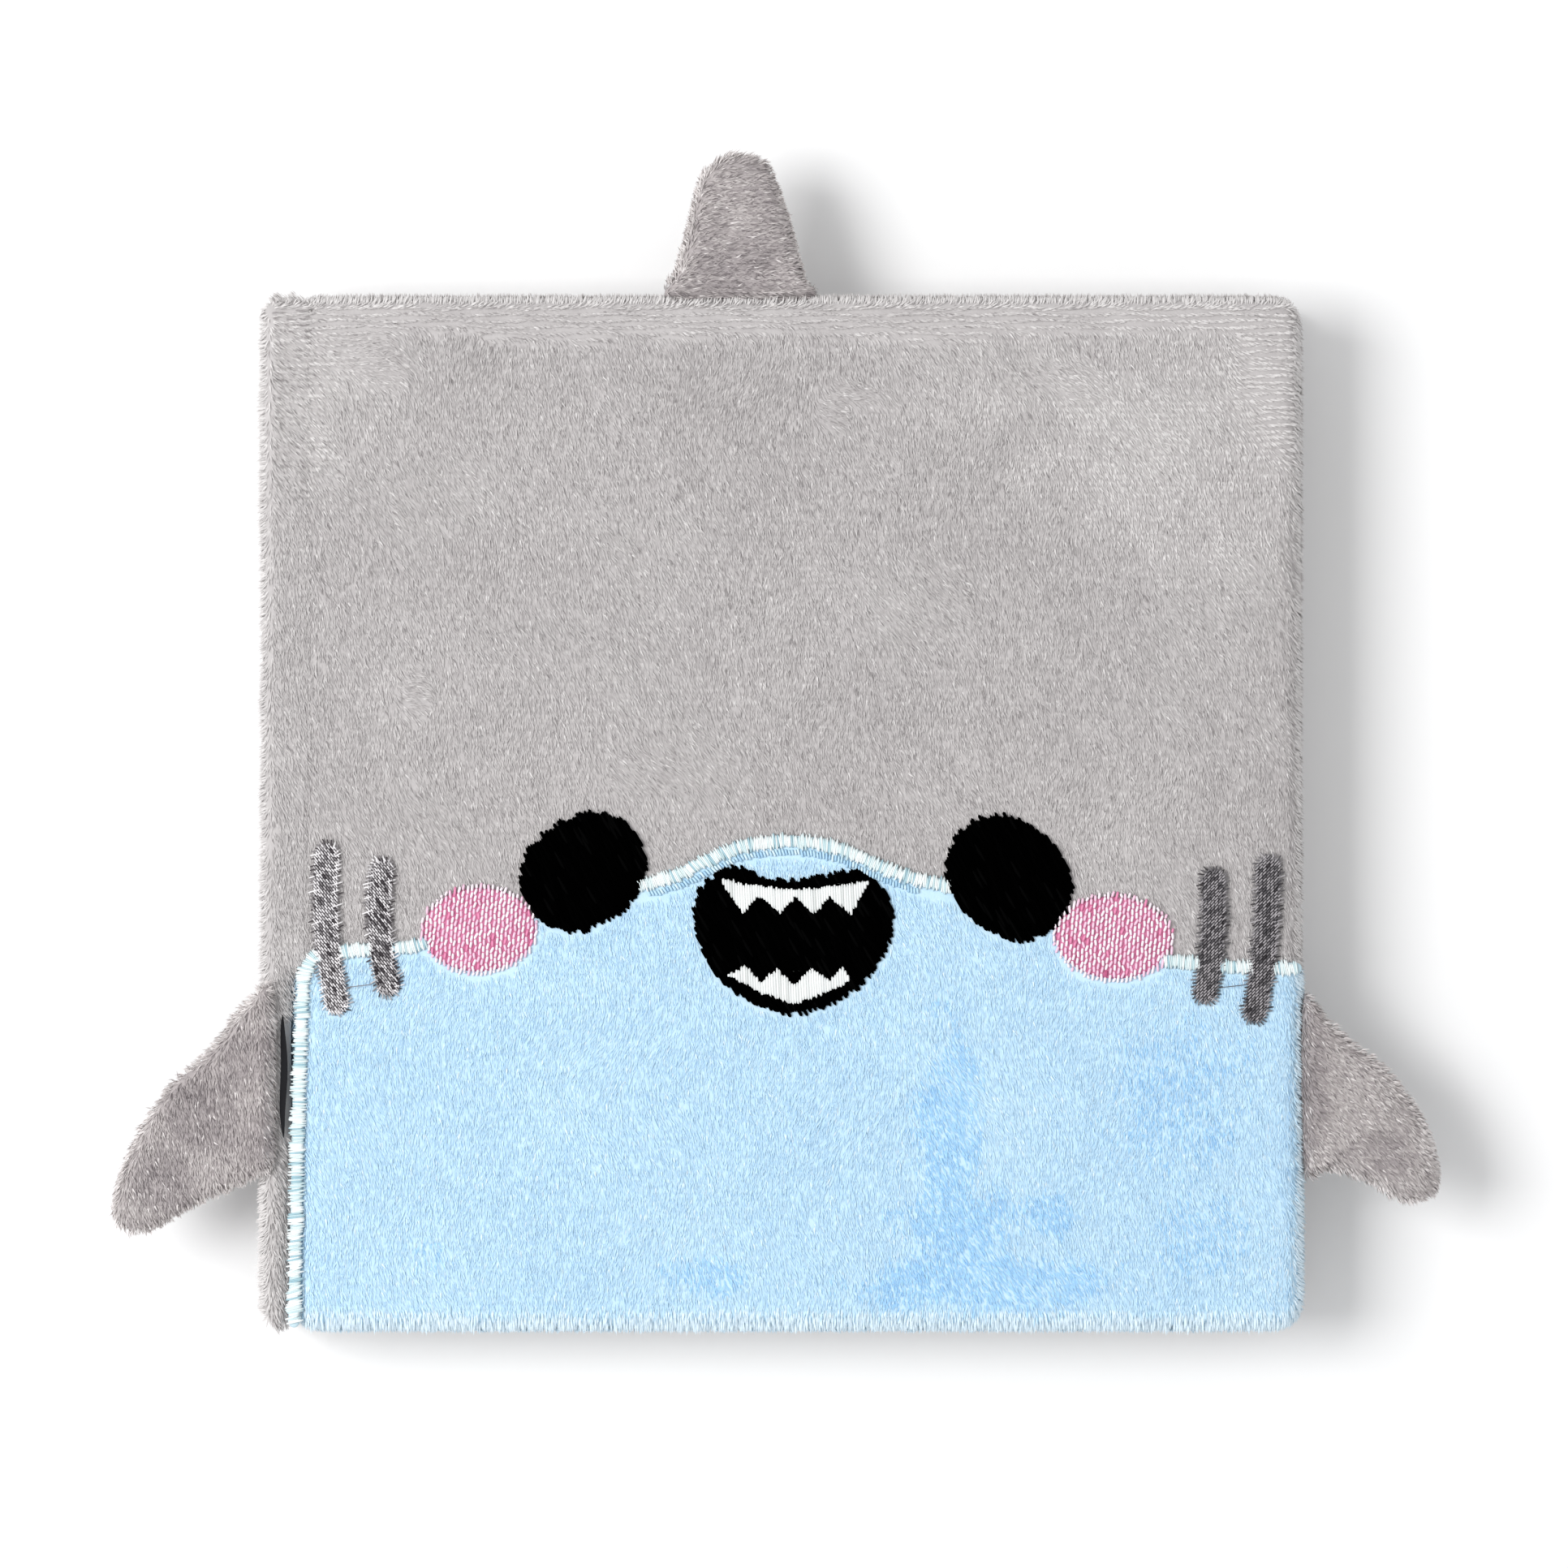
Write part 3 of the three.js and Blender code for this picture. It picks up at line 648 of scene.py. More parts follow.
GILL_BARS = {name: bar(smooth_path(line, 30, False), GILL_WIDTH) for name, line in GILL_LINES.items()}
BORDER_PATHS = {name: smooth_path(line, 120, False) for name, line in BORDER_LINES.items()}
EMBROIDERY += [grown(b, -0.1) for b in GILL_BARS.values()]
EMBROIDERY += [bar(path, BORDER_WIDTH - 0.5, 80) for path in BORDER_PATHS.values()]
EMBROIDERY.append(bar(BORDER_PATHS["belly_border_middle"] + [0, -1.3], 1.2, 60))


BRUSHED = [  # where the blue pile has been stroked darker: x, y, half width, half height, how strongly
    (23.6, -49.0, 4.0, 14.0, 0.9), (25.5, -59.0, 7.0, 6.0, 0.9), (27.0, -66.5, 15.0, 3.8, 1.0),
    (37.8, -56.7, 3.2, 3.0, 0.7), (-11.3, -65.3, 5.0, 2.4, 0.6), (60.0, -60.0, 6.0, 5.0, 0.3),
    (56.0, -40.0, 8.0, 9.0, 0.35), (-50.0, -63.0, 3.0, 2.0, 0.3),
]
RUMPLED = [  # where the grey pile has been stroked against its nap
    (-53.0, 17.5, 2.6, 3.6, 1.0), (10.5, 60.0, 4.0, 2.2, 0.9), (7.0, 57.0, 2.2, 2.2, 0.9),
    (-58.0, 66.0, 5.0, 4.0, 0.7), (40.0, 62.0, 7.0, 3.0, 0.5), (-20.0, 6.0, 6.0, 3.0, 0.4),
]
PAINTED_LIGHT_PATCHES = [  # where the grey pile is painted lighter: painted light on the parts of the face lit most
    (58.0, 56.0, 24.0, 18.0, 1.0), (-62.0, 64.0, 10.0, 12.0, 0.4),
]


def patches(points, places):
    """How far, 0 to 1, points lie in one of several soft-edged ovals."""
    depth = np.zeros(len(points))
    wander = 0.3 * waves(points, 7, 61)
    for x, y, half_x, half_y, strength in places:
        away = np.hypot((points[:, 0] - x) / half_x, (points[:, 1] - y) / half_y)
        depth = np.maximum(depth, strength * eased(1.5 - away + wander))
    return depth


def eased(share):
    """0 below 0 and 1 above 1, with a soft start and end between."""
    share = np.clip(share, 0, 1)
    return share**2 * (3 - 2 * share)


def ridged(points):
    """Where the cloth is drawn tight along the head and the fore edge, so that its knitted rows show, 0 to 1."""
    x, y = points[:, 0], points[:, 1]
    ragged = waves(points, 14, 63)
    head = eased((y - 67.2) / 1.6 + 0.8 * ragged) * eased((72.9 - y) / 0.5)
    fore = eased((x - 60 - 0.12 * (72 - y)) / 6 + 0.5 * ragged) * eased((y - 48) / 10 + 0.4 * ragged)
    back = 0.55 * eased((-62 - x) / 5 + 0.4 * ragged) * eased((y - 38) / 14)
    return np.maximum(np.maximum(head, fore), back)


def beyond_the_edge(points):
    """Near the fore edge, the head and the tail: how near, 0 to 1, and the way out."""
    x, y = points[:, 0], points[:, 1]
    near = eased(np.stack([x - HALF_WIDTH + 2.4, y - TOP + 2.8, BOTTOM + 5.2 - y], 1) / [1.3, 1.3, 3.2])
    way = unit(near @ np.array([[1.0, -0.2, 0], [0, 1.0, 0], [0, -1.0, 0]]))
    return near.max(1), way


def painted_row_shade(within, tight):
    """Painted light and shade across a knitted row: how much lighter a tuft is for its place in it, lighter on the
    row's crest and darker in the gap.
    """
    gap = np.clip(np.abs(within) - 0.26, 0, 0.18) / 0.18
    return 0.4 * np.cos(2 * math.pi * within) - 0.15 + tight * (0.2 - 3.4 * gap)


def along_the_rows(nap, tight):
    """Turns a nap sideways where the rows show."""
    return nap * (1 - 0.85 * tight[:, None]) + tight[:, None] * [1.0, -0.1, 0]


def in_rows(roots, tight, rng):
    """Roots drawn towards the knitted rows, and where each stands across its row, -0.5 to 0.5."""
    line = np.floor(roots[:, 1] / ROW)
    within = np.clip(rng.normal(0, 0.24, len(roots)), -0.5, 0.5)
    wavy = 0.16 * np.sin(roots[:, 0] / 2.3 + line * 1.7) * tight
    return (line + 0.5 + within) * ROW + wavy, within


def planted(skin, per_mm2, rng, face_up=True):
    """Roots of a cover's pile, drawn towards its knitted rows, without those hidden inside the turn-in."""
    roots, normals = scatter(skin, per_mm2, rng)
    up = normals[:, 2] if face_up else -normals[:, 2]
    face = up > 0.75
    tight = ridged(roots) * face if face_up else np.zeros(len(roots))
    lines, within = in_rows(roots, tight, rng)
    roots[:, 1] = np.where(face, lines, roots[:, 1])
    roots[:, 2] += 0.22 * tight * np.cos(2 * math.pi * within)
    inward = np.minimum(HALF_WIDTH - np.abs(roots[:, 0]), TOP - np.abs(roots[:, 1]))
    keep = (up > -0.6) | (inward < 6.5)
    return [each[keep] for each in (roots, normals, up, tight, within)]


def off_the_embroidery(roots):
    keep = np.ones(len(roots), bool)
    for outline in EMBROIDERY:
        low, high = outline.min(0), outline.max(0)
        near = ((roots[:, :2] > low) & (roots[:, :2] < high)).all(1) & (roots[:, 2] > FACE - 3)
        where = np.flatnonzero(near)
        keep[where[inside(roots[where], outline)]] = False
    return keep


def swirled(roots, lean, turn):
    """The way the pile lies on a cover's face, turned a little from place to place."""
    turn = turn + 0.3 * waves(roots, 24, 101)
    c, s = np.cos(turn), np.sin(turn)
    return np.stack([lean[0] * c - lean[1] * s, lean[0] * s + lean[1] * c, np.zeros(len(roots))], 1)


def cover_pile(name, body, skin, seed, per_mm2, lean, materials, region=None, stroked=RUMPLED, face_up=True,
               spread=0.6):
    """Pile that lies one way on a cover's face and stands outwards round its edges."""
    rng = np.random.default_rng(seed)
    roots, normals, up, tight, within = planted(skin, per_mm2, rng, face_up)
    keep = off_the_embroidery(roots) if face_up else np.ones(len(roots), bool)
    if region is not None:
        keep &= region(roots)
    roots, normals, up, tight, within = (each[keep] for each in (roots, normals, up, tight, within))
    count = len(roots)
    blue = len(materials) > len(GREYS)
    if face_up:
        brushed = patches(roots, stroked)
        fringe, way_out = beyond_the_edge(roots)
    else:
        brushed, fringe, way_out = np.zeros(count), np.zeros(count), np.zeros((count, 3))
    if blue:
        tight = 0.3 * brushed
    nap = swirled(roots, lean, rng.normal(0, 0.2, count) + (0 if blue else 1) * brushed * 1.2)
    nap = along_the_rows(nap, tight)
    steep = np.clip(1 - up, 0, 1)[:, None]
    outward = unit(np.column_stack([normals[:, :2], np.zeros(count)]))
    nap = nap * (1 - 0.8 * steep) * (1 - fringe[:, None]) + outward * 0.4 * steep + fringe[:, None] * way_out
    steep = steep[:, 0]
    nap[:, 2] -= 0.35 * steep * (1 - 0.7 * fringe)
    lift = 0.34 + 0.6 * steep * (1 - 0.6 * fringe)
    length = (1.35 - 0.15 * steep) * (1 - 0.25 * tight) + 0.45 * fringe
    # Painted light: the steep walls and the fringe round the edges are painted lighter, over the random tone from
    # waves.
    bias = 0.4 * waves(roots, 28, seed + 1) + 0.2 * waves(roots, 6, seed + 2) + 2.2 * steep + 3.2 * fringe
    bias += painted_row_shade(within, tight) * (1 - fringe)
    if blue:
        shade = speckle(count, rng, bias, spread)
        shade += len(BLUES) * (rng.random(count) < 1.35 * brushed)
    else:
        # Painted light: the face's most brightly lit patches are painted lighter; rumpled pile is darker.
        bias += 1.3 * patches(roots, PAINTED_LIGHT_PATCHES) - 0.9 * brushed
        shade = speckle(count, rng, bias, spread, dark=0.035, light=0.045)
    return grow(name, body, roots, normals, nap, length, lift, materials, rng, shade)


cover_pile("front_pile_grey", "front_cover", front_skin, 101, 12.0, (0.30, -0.95), GREY_PILE,
           region=lambda r: ~inside(r, BELLY))
raised = (front_skin[0] + front_skin[1] * 0.25, front_skin[1], front_skin[2])
cover_pile("front_pile_blue", "front_cover", raised, 102, 12.0, (0.06, -1.0), BLUE_PILE,
           region=lambda r: inside(r, BELLY), stroked=BRUSHED, spread=0.5)
cover_pile("back_pile", "back_cover", back_skin, 103, 7.0, (0.30, -0.95), GREY_PILE, face_up=False)

# ---- embroidery -----------------------------------------------------------------------------------
BLACK_THREAD = shades("black_thread", BLACKS, roughness=1.0, specular=0.005)
WHITE_THREAD = shades("white_thread", WHITES, roughness=0.4)
PINK_THREAD = shades("pink_thread", PINKS, roughness=0.35)
MINT_THREAD = shades("mint_thread", MINTS, roughness=0.4)
SKY_THREAD = shades("sky_thread", SKIES, roughness=0.45)
# The left gills take the grey thread with painted glints.
GILL_THREADS = {
    "left": shades("grey_thread_painted_glints", PAINTED_GLINT_GILL_GREYS, roughness=0.35, specular=0.5),
    "right": shades("dark_grey_thread", DARK_GILLS, roughness=0.35, specular=0.5),
}
BLACK_PAD = mottled("black_underlay", BLACKS[0], BLACKS[1], 0.002, roughness=1.0, specular=0.005)
PINK_PAD = mottled("pink_underlay", (0.50, 0.12, 0.24), (0.62, 0.20, 0.35), 0.002)
MINT_PAD = mottled("mint_underlay", (0.50, 0.68, 0.76), (0.60, 0.76, 0.83), 0.002)
GILL_PAD = mottled("grey_underlay", DARK_GILLS[0], DARK_GILLS[1], 0.002)
WHITE_PAD = mottled("white_underlay", WHITES[0], WHITES[1], 0.002)


def pick(count, rng, weights):
    return rng.choice(len(weights), size=count, p=np.array(weights) / sum(weights)).astype(np.int32)


SOLID_LEAN = -60.0  # the way the black threads run, in degrees from +x


def embroider_solid(name, outline, node, rng):
    """Black satin fill whose threads all run one way, so that their ends make a ragged edge."""
    pad(f"{name}_underlay", grown(outline, -0.4), STITCH_BASE - 0.6, STITCH_BASE + 0.12, BLACK_PAD, node)
    starts, ends = fill(grown(outline, -0.25), SOLID_LEAN, 0.36, 3.2, rng, slack=1.0)
    stitches(f"{name}_stitches", starts, ends, BLACK_THREAD, pick(len(starts), rng, (5, 3, 1)),
             base=STITCH_BASE + 0.1, width=0.5, taper=0.15, dip=0.2)


rng = np.random.default_rng(7)
embroider_solid("left_eye", LEFT_EYE, "left_eye", rng)
embroider_solid("right_eye", RIGHT_EYE, "right_eye", rng)
embroider_solid("mouth", MOUTH, "mouth", rng)


def embroider_cheek(name, outline, node, eye, rng):
    """Upright pink threads in bricks, with the deep pink underlay showing between them."""
    pad(f"{name}_underlay", grown(outline, -0.5), STITCH_BASE - 0.6, STITCH_BASE - 0.05, PINK_PAD, node)
    starts, ends = fill(grown(outline, -0.1), 85, 0.6, 0.95, rng, brick=0.5, slack=0.45)
    clear = ~inside((starts + ends) / 2, grown(eye, -0.3))
    starts, ends = starts[clear], ends[clear]
    zigzag = np.where(np.arange(len(starts)) % 2, 0.09, -0.03) + rng.normal(0, 0.05, len(starts))
    bow = zigzag[:, None] * np.array([1.0, 0.0])
    rise = STITCH_RISE * rng.uniform(0.7, 1.2, len(starts))
    stitches(f"{name}_stitches", starts - bow, ends + bow, PINK_THREAD, pick(len(starts), rng, (0.05, 0.8, 5, 11)),
             base=STITCH_BASE, rise=rise, width=0.37)


embroider_cheek("left_cheek", LEFT_CHEEK, "left_cheek", LEFT_EYE, rng)
embroider_cheek("right_cheek", RIGHT_CHEEK, "right_cheek", RIGHT_EYE, rng)


def tooth_rows(top, bottom, pitch, lean, rng, ragged=0.2):
    """Upright stitches between two lines given as points with rising x."""
    top, bottom = np.array(top), np.array(bottom)
    x = np.arange(top[0, 0] + 0.1, top[-1, 0], pitch)
    high = np.interp(x, top[:, 0], top[:, 1]) + rng.uniform(-ragged, ragged, len(x))
    low = np.interp(x, bottom[:, 0], bottom[:, 1]) + rng.uniform(-ragged, ragged, len(x))
    return np.stack([x, high], 1), np.stack([x + lean * (high - low), low], 1)


for name, top, foot, node in (
    ("upper_teeth", UPPER_TEETH_TOP, UPPER_TEETH_TIPS, "upper_teeth"),
    ("lower_teeth", LOWER_TEETH_TIPS, LOWER_TEETH_FOOT, "lower_teeth"),
):
    outline = anticlockwise(np.vstack([top, foot[::-1]]))
    outline = resample(np.vstack([outline, outline[:1]]), 90)
    pad(f"{name}_underlay", grown(outline, -0.15), STITCH_BASE, STITCH_BASE + 0.38, WHITE_PAD, node)
    starts, ends = tooth_rows(top, foot, 0.36, 0.05, rng)
    stitches(f"{name}_stitches", starts, ends, WHITE_THREAD, pick(len(starts), rng, (1, 3, 4)),
             base=STITCH_BASE + 0.36, rise=0.3)

for name, outline in GILL_BARS.items():
    side = name.split("_")[0]
    pad(f"{name}_underlay", grown(outline, -0.45), STITCH_BASE - 0.6, STITCH_BASE + 0.12, GILL_PAD, name)
    s0, e0 = fill(grown(outline, -0.25), -52 if side == "left" else 48, 0.31, 0.8, rng, brick=0.43, slack=0.3)
    s1, e1 = rim(outline, 0.52, 1.1, 0.32, rng, 0.3, 0.35)
    starts, ends = np.vstack([s0, s1]), np.vstack([e0, e1])
    rise = np.concatenate([STITCH_RISE * rng.uniform(0.8, 1.35, len(s0)), np.full(len(s1), STITCH_RISE * 0.7)])
    mix = (1.8, 3, 4, 5) if name == "left_inner_gill" else (0.5, 2, 4, 9)
    tone = np.concatenate([pick(len(s0), rng, mix), pick(len(s1), rng, (2, 4, 4, 2))])
    stitches(f"{name}_stitches", starts, ends, GILL_THREADS[side], tone.astype(np.int32),
             base=STITCH_BASE + 0.15, rise=rise, width=0.215)

JUMP = -24.9  # the height at which a thread runs loose from each gill to its neighbour
for side, start, end in (("left", -62.2, -58.4), ("right", 62.6, 66.6)):
    stitches(f"{side}_gill_jump_thread", [(start, JUMP - 0.2)], [(end, JUMP + 0.25)], GILL_THREADS[side], [1],
             base=STITCH_BASE + 0.5, rise=0.2, width=0.13)

OVER_THE_BORDER = [grown(o, -0.5) for o in (LEFT_EYE, RIGHT_EYE, LEFT_CHEEK, RIGHT_CHEEK, *GILL_BARS.values())]


def not_covered(starts, ends):
    middle = (starts + ends) / 2
    clear = np.ones(len(middle), bool)
    for outline in OVER_THE_BORDER:
        clear &= ~inside(middle, outline)
    return starts[clear], ends[clear]


for name, path in BORDER_PATHS.items():
    pad(f"{name}_underlay", bar(path, BORDER_WIDTH - 0.4, 90), STITCH_BASE - 0.6, STITCH_BASE - 0.05, MINT_PAD, name)
    pitch = 0.24
    count = int(path_length(path) / pitch)
    height = resample(path, count, False)
    tilt = 0.12 + 0.1 * np.sin(height[:, 0] / 3.1 + height[:, 1] / 9)
    starts, ends = satin(path, BORDER_WIDTH, pitch, rng, tilt, 0.5)
    starts, ends = not_covered(starts, ends)
    rise = STITCH_RISE * rng.uniform(0.7, 1.2, len(starts))
    stitches(f"{name}_stitches", starts, ends, MINT_THREAD, pick(len(starts), rng, (1.5, 3, 5, 8)),
             base=STITCH_BASE + 0.1, rise=rise, width=0.28)

TACKING = 1.55  # from the middle of the border to the middle of the line of pale stitches below it
path = BORDER_PATHS["belly_border_middle"][8:-14]
starts, ends = not_covered(*satin(path + across(path, False) * TACKING, 1.0, 0.44, rng, 0.3, 0.3))
stitches("belly_tacking", starts, ends, SKY_THREAD, pick(len(starts), rng, (3, 4, 2)),
         base=STITCH_BASE - 0.05, width=0.34)

# ---- fins -----------------------------------------------------------------------------------------
DORSAL = [(-17.0, 72.6), (-16.0, 77.0), (-14.5, 82.0), (-13.2, 87.4), (-12.0, 91.4), (-8.8, 94.1), (-4.6, 94.5),
          (-1.6, 93.0), (-0.1, 89.8), (1.4, 85.6), (2.9, 80.0), (3.8, 76.4), (4.2, 72.6)]
RIGHT_FIN = [(73.6, -26.0), (78.5, -29.4), (82.8, -33.2), (86.8, -36.2), (90.3, -40.4), (93.2, -45.5), (94.7, -50.8),
             (94.2, -54.6), (91.2, -56.3), (87.7, -55.9), (84.2, -53.8), (78.8, -51.8), (73.6, -50.9)]
LEFT_FIN = [(-71.4, -28.5), (-73.2, -23.4), (-75.0, -25.4), (-77.7, -24.2), (-77.0, -27.4), (-79.4, -30.4),
            (-83.2, -34.6), (-87.8, -38.7), (-91.4, -43.6), (-93.9, -48.4), (-95.7, -53.0), (-96.4, -57.8),
            (-94.5, -60.1), (-90.9, -60.6), (-87.6, -59.0), (-83.6, -56.6), (-78.7, -54.3), (-74.6, -52.4),
            (-71.7, -49.6), (-71.5, -38.0)]


def stuffed_fin(name, outline, centre, thickness, level, material, nodes, flat_root=None):
    """A flat stuffed shape: a ball drawn out to an outline. level gives its mid height at x, y."""
    line = anticlockwise(smooth_path(outline, 400))
    line = grown(line, -1.0)
    reach = line - centre
    angle = np.arctan2(reach[:, 1], reach[:, 0])
    order = np.argsort(angle)
    angle, far = angle[order], np.linalg.norm(reach, axis=1)[order]
    angle = np.concatenate([angle - 2 * math.pi, angle, angle + 2 * math.pi])
    far = np.tile(far, 3)
    bpy.ops.mesh.primitive_uv_sphere_add(segments=120, ring_count=36, radius=1)
    piece = bpy.context.object
    ball = corners(piece)
    flat = np.linalg.norm(ball[:, :2], axis=1)
    round_ = np.arctan2(ball[:, 1], ball[:, 0])
    reach = np.interp(round_, angle, far)
    share = np.sin(np.arcsin(np.clip(flat, 0, 1)))
    points = np.empty_like(ball)
    points[:, :2] = np.array(centre) + (np.stack([np.cos(round_), np.sin(round_)], 1) * (share * reach)[:, None])
    edge = (1 - share) * reach
    soft = np.sqrt(np.clip(1 - (1 - np.minimum(edge / (thickness * 0.9), 1)) ** 2, 0, 1))
    points[:, 2] = level(points[:, 0], points[:, 1]) + np.sign(ball[:, 2]) * thickness / 2 * soft
    points[:, 2] += 0.15 * waves(points, 9, 31)
    move_corners(piece, row(points))
    soft_shading(piece)
    named(piece, name, material)
    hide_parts(*nodes)
    return piece, skin_of(piece)


def fin_pile(name, body, skin, seed, lean, root, tone, rows=0.4, shaded=(), per_mm2=14.0, length=1.3):
    """Pile that lies one way on the flat of a fin and fans out over its edge.

    root is a point on the seam and the way out from it, tone how much lighter than middling the fin
    is, rows how plainly its knitted rows show, and shaded are ovals where the pile is painted darker,
    as painted shade such as the cover's painted shadow along the right fin's root.
    """
    rng = np.random.default_rng(seed)
    roots, normals = scatter(skin, per_mm2, rng)
    count = len(roots)
    roots[:, 1], within = in_rows(roots, np.full(count, rows), rng)
    clear = np.clip(((roots[:, :2] - root[0]) @ np.array(root[1])) / 2.5, 0, 1)
    edge = np.clip(1.25 - 1.4 * np.abs(normals[:, 2]), 0, 1) * clear
    nap = np.column_stack([unit(normals[:, :2]) * 1.8 * edge[:, None], np.zeros(count)]) + [*lean, 0]
    nap += rng.normal(0, 0.13, (count, 3)) * [1, 1, 0.2]
    # Painted light: the fin's rim is painted lighter; the shaded ovals paint shade.
    bias = tone + 3.2 * edge + 0.3 * waves(roots, 7, seed) - 1.5 * patches(roots, shaded)
    bias += rows * painted_row_shade(within, 0.5) * (1 - edge)
    shade = speckle(count, rng, bias, 0.6, dark=0.04)
    return grow(name, body, roots, normals, nap, length, 0.4 + 0.35 * edge, FIN_PILE, rng, shade, width=0.23)


FIN_LEVEL = 17.3


def side_level(x, y):
    return FIN_LEVEL - 0.012 * np.clip(np.abs(x) - 76, 0, None) ** 1.6


def top_level(x, y):
    return FIN_LEVEL - 0.010 * np.clip(y - 76, 0, None) ** 1.6


def spine_level(x, y):
    """The left fin comes out of the groove, over the shoulder of the spine, and droops to its tip."""
    away = -71.0 - x
    over = 20.7 + 0.5 * np.sin(np.clip(away / 5.0, 0, 1) * math.pi)
    return over - 0.30 * np.clip(away - 3.0, 0, 9) - 0.10 * np.clip(away - 12, 0, None)


def fin_nodes(name):
    return [f"{name}_front_skin", f"{name}_back_skin", f"{name}_filling"]


dorsal, dorsal_skin = stuffed_fin("dorsal_fin_cloth", DORSAL, (-6.5, 81.0), 4.0, top_level, FIN_CLOTH,
                                  fin_nodes("dorsal_fin"))
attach(dorsal, "dorsal_fin")
fin_pile("dorsal_fin_pile", "dorsal_fin", dorsal_skin, 201, (0.6, 0.0), ((-6.5, 73.5), (0, 1)), -0.1, 0.7,
         [(-10.5, 78.2, 2.6, 2.0, 1.0), (-5.0, 79.0, 4.0, 2.6, 0.6), (-8.0, 75.0, 5.0, 1.2, 0.7)])
right, right_skin = stuffed_fin("right_fin_cloth", RIGHT_FIN, (82.0, -45.0), 4.0, side_level, FIN_CLOTH,
                                fin_nodes("right_fin"))
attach(right, "right_fin")
# The first oval is the cover's shadow, painted along the fin's root.
fin_pile("right_fin_pile", "right_fin", right_skin, 202, (0.45, -0.4), ((75.0, -42.0), (1, 0)), 0.55, 0.4,
         [(75.5, -38.0, 1.6, 10.0, 1.0), (86.0, -48.0, 4.0, 3.0, 0.7)])
left, left_skin = stuffed_fin("left_fin_cloth", LEFT_FIN, (-81.0, -45.0), 3.2, spine_level, FIN_CLOTH,
                              fin_nodes("left_fin") + ["left_fin_root"])
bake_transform(left)
# The ovals paint shade over the middle of the fin and beside its slit.
for piece in fin_pile("left_fin_pile", None, left_skin, 203, (0.15, -0.5), ((-71.0, -40.0), (-1, 0)), 0.3, 0.4,
                      [(-78.0, -35.0, 5.0, 4.5, 0.9), (-83.0, -42.0, 5.0, 6.0, 1.0), (-88.0, -51.0, 4.0, 5.0, 0.9),
                       (-74.5, -45.0, 3.0, 4.0, 0.6)]):
    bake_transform(piece)

# ---- spine ----------------------------------------------------------------------------------------
# cross-sections of x and z: over the front shoulder, from the spine to the panel
OPEN_SHOULDER = [(-73.7, 14.1), (-74.0, 15.6), (-74.1, 17.2), (-73.9, 18.8), (-73.4, 19.8), (-72.7, 20.1),
                 (-72.0, 20.05), (-71.5, 19.85), (-71.1, 19.6), (-70.7, 19.3), (-70.0, 18.9)]
SHUT_SHOULDER = [(-73.7, 14.1), (-74.0, 15.6), (-74.1, 17.2), (-73.9, 18.7), (-73.3, 19.6), (-72.2, 19.95), (-71.0, 20.0),
                 (-69.9, 20.02), (-68.9, 20.0), (-68.1, 19.85), (-67.4, 19.5)]
SPINE_BACK = [(-73.7, 14.6), (-74.0, 13.5), (-74.1, 10.6), (-74.0, 7.6), (-73.7, 6.6)]
SHUT_ABOVE = -20.5  # the groove beside the spine is drawn shut above this height, and open below
OPEN_BELOW = -24.5
END_ROUNDING = 3.0  # how far from its head and tail the cloth along the spine starts to round over


def strip_of_cloth(name, above, below, middle, body=None, flip=False, cells=90, around=28):
    """Cloth along the spine, whose cross-section goes over from one to another; middle is inside it."""
    lines = [smooth_path(np.array(profile), around, False) for profile in (above, below)]
    bpy.ops.mesh.primitive_grid_add(x_subdivisions=around - 1, y_subdivisions=cells, size=2)
    piece = bpy.context.object
    flat = corners(piece)
    at = np.rint((flat[:, 0] + 1) / 2 * (around - 1)).astype(int)
    low, high = BOTTOM + 1.1, TOP - 0.8
    y = (low + high) / 2 + flat[:, 1] * (high - low) / 2
    share = np.clip((SHUT_ABOVE - y) / (SHUT_ABOVE - OPEN_BELOW), 0, 1)
    share = (share**2 * (3 - 2 * share))[:, None]
    profile = lines[0][at] * (1 - share) + lines[1][at] * share
    if flip:
        profile = profile * [1, -1] + [0, FACE]
    near_end = np.clip(1 - (high - low) / 2 * (1 - np.abs(flat[:, 1])) / END_ROUNDING, 0, 1)
    drawn_in = END_ROUNDING * (1 - np.sqrt(1 - near_end**2)) * 0.8
    inwards = unit(np.array(middle) - profile)
    profile = profile + inwards * drawn_in[:, None]
    points = np.column_stack([profile[:, 0], y, profile[:, 1]])
    points[:, 0] += 0.12 * waves(points, 15, 41)
    points[:, 0] += (0.7 + 0.6 * waves(points, 9, 42)) * (at > around - 6) * (share[:, 0] < 0.1)
    move_corners(piece, row(points))
    _, normals, _ = skin_of(piece)
    if ((points[:, [0, 2]] - middle) * normals[:, [0, 2]]).sum() < 0:
        piece.data.flip_normals()
    skin = skin_of(piece)
    modify(piece, "SOLIDIFY", thickness=0.6 * MM, offset=-1)
    named(piece, name, GREY_CLOTH)
    soft_shading(piece)
    if body:
        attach(piece, body)
    return piece, skin


SLIT_X = -71.0  # the slit through which the left fin comes out of the groove
SLIT_HEAD = -29.0
SLIT_TAIL = -46.5


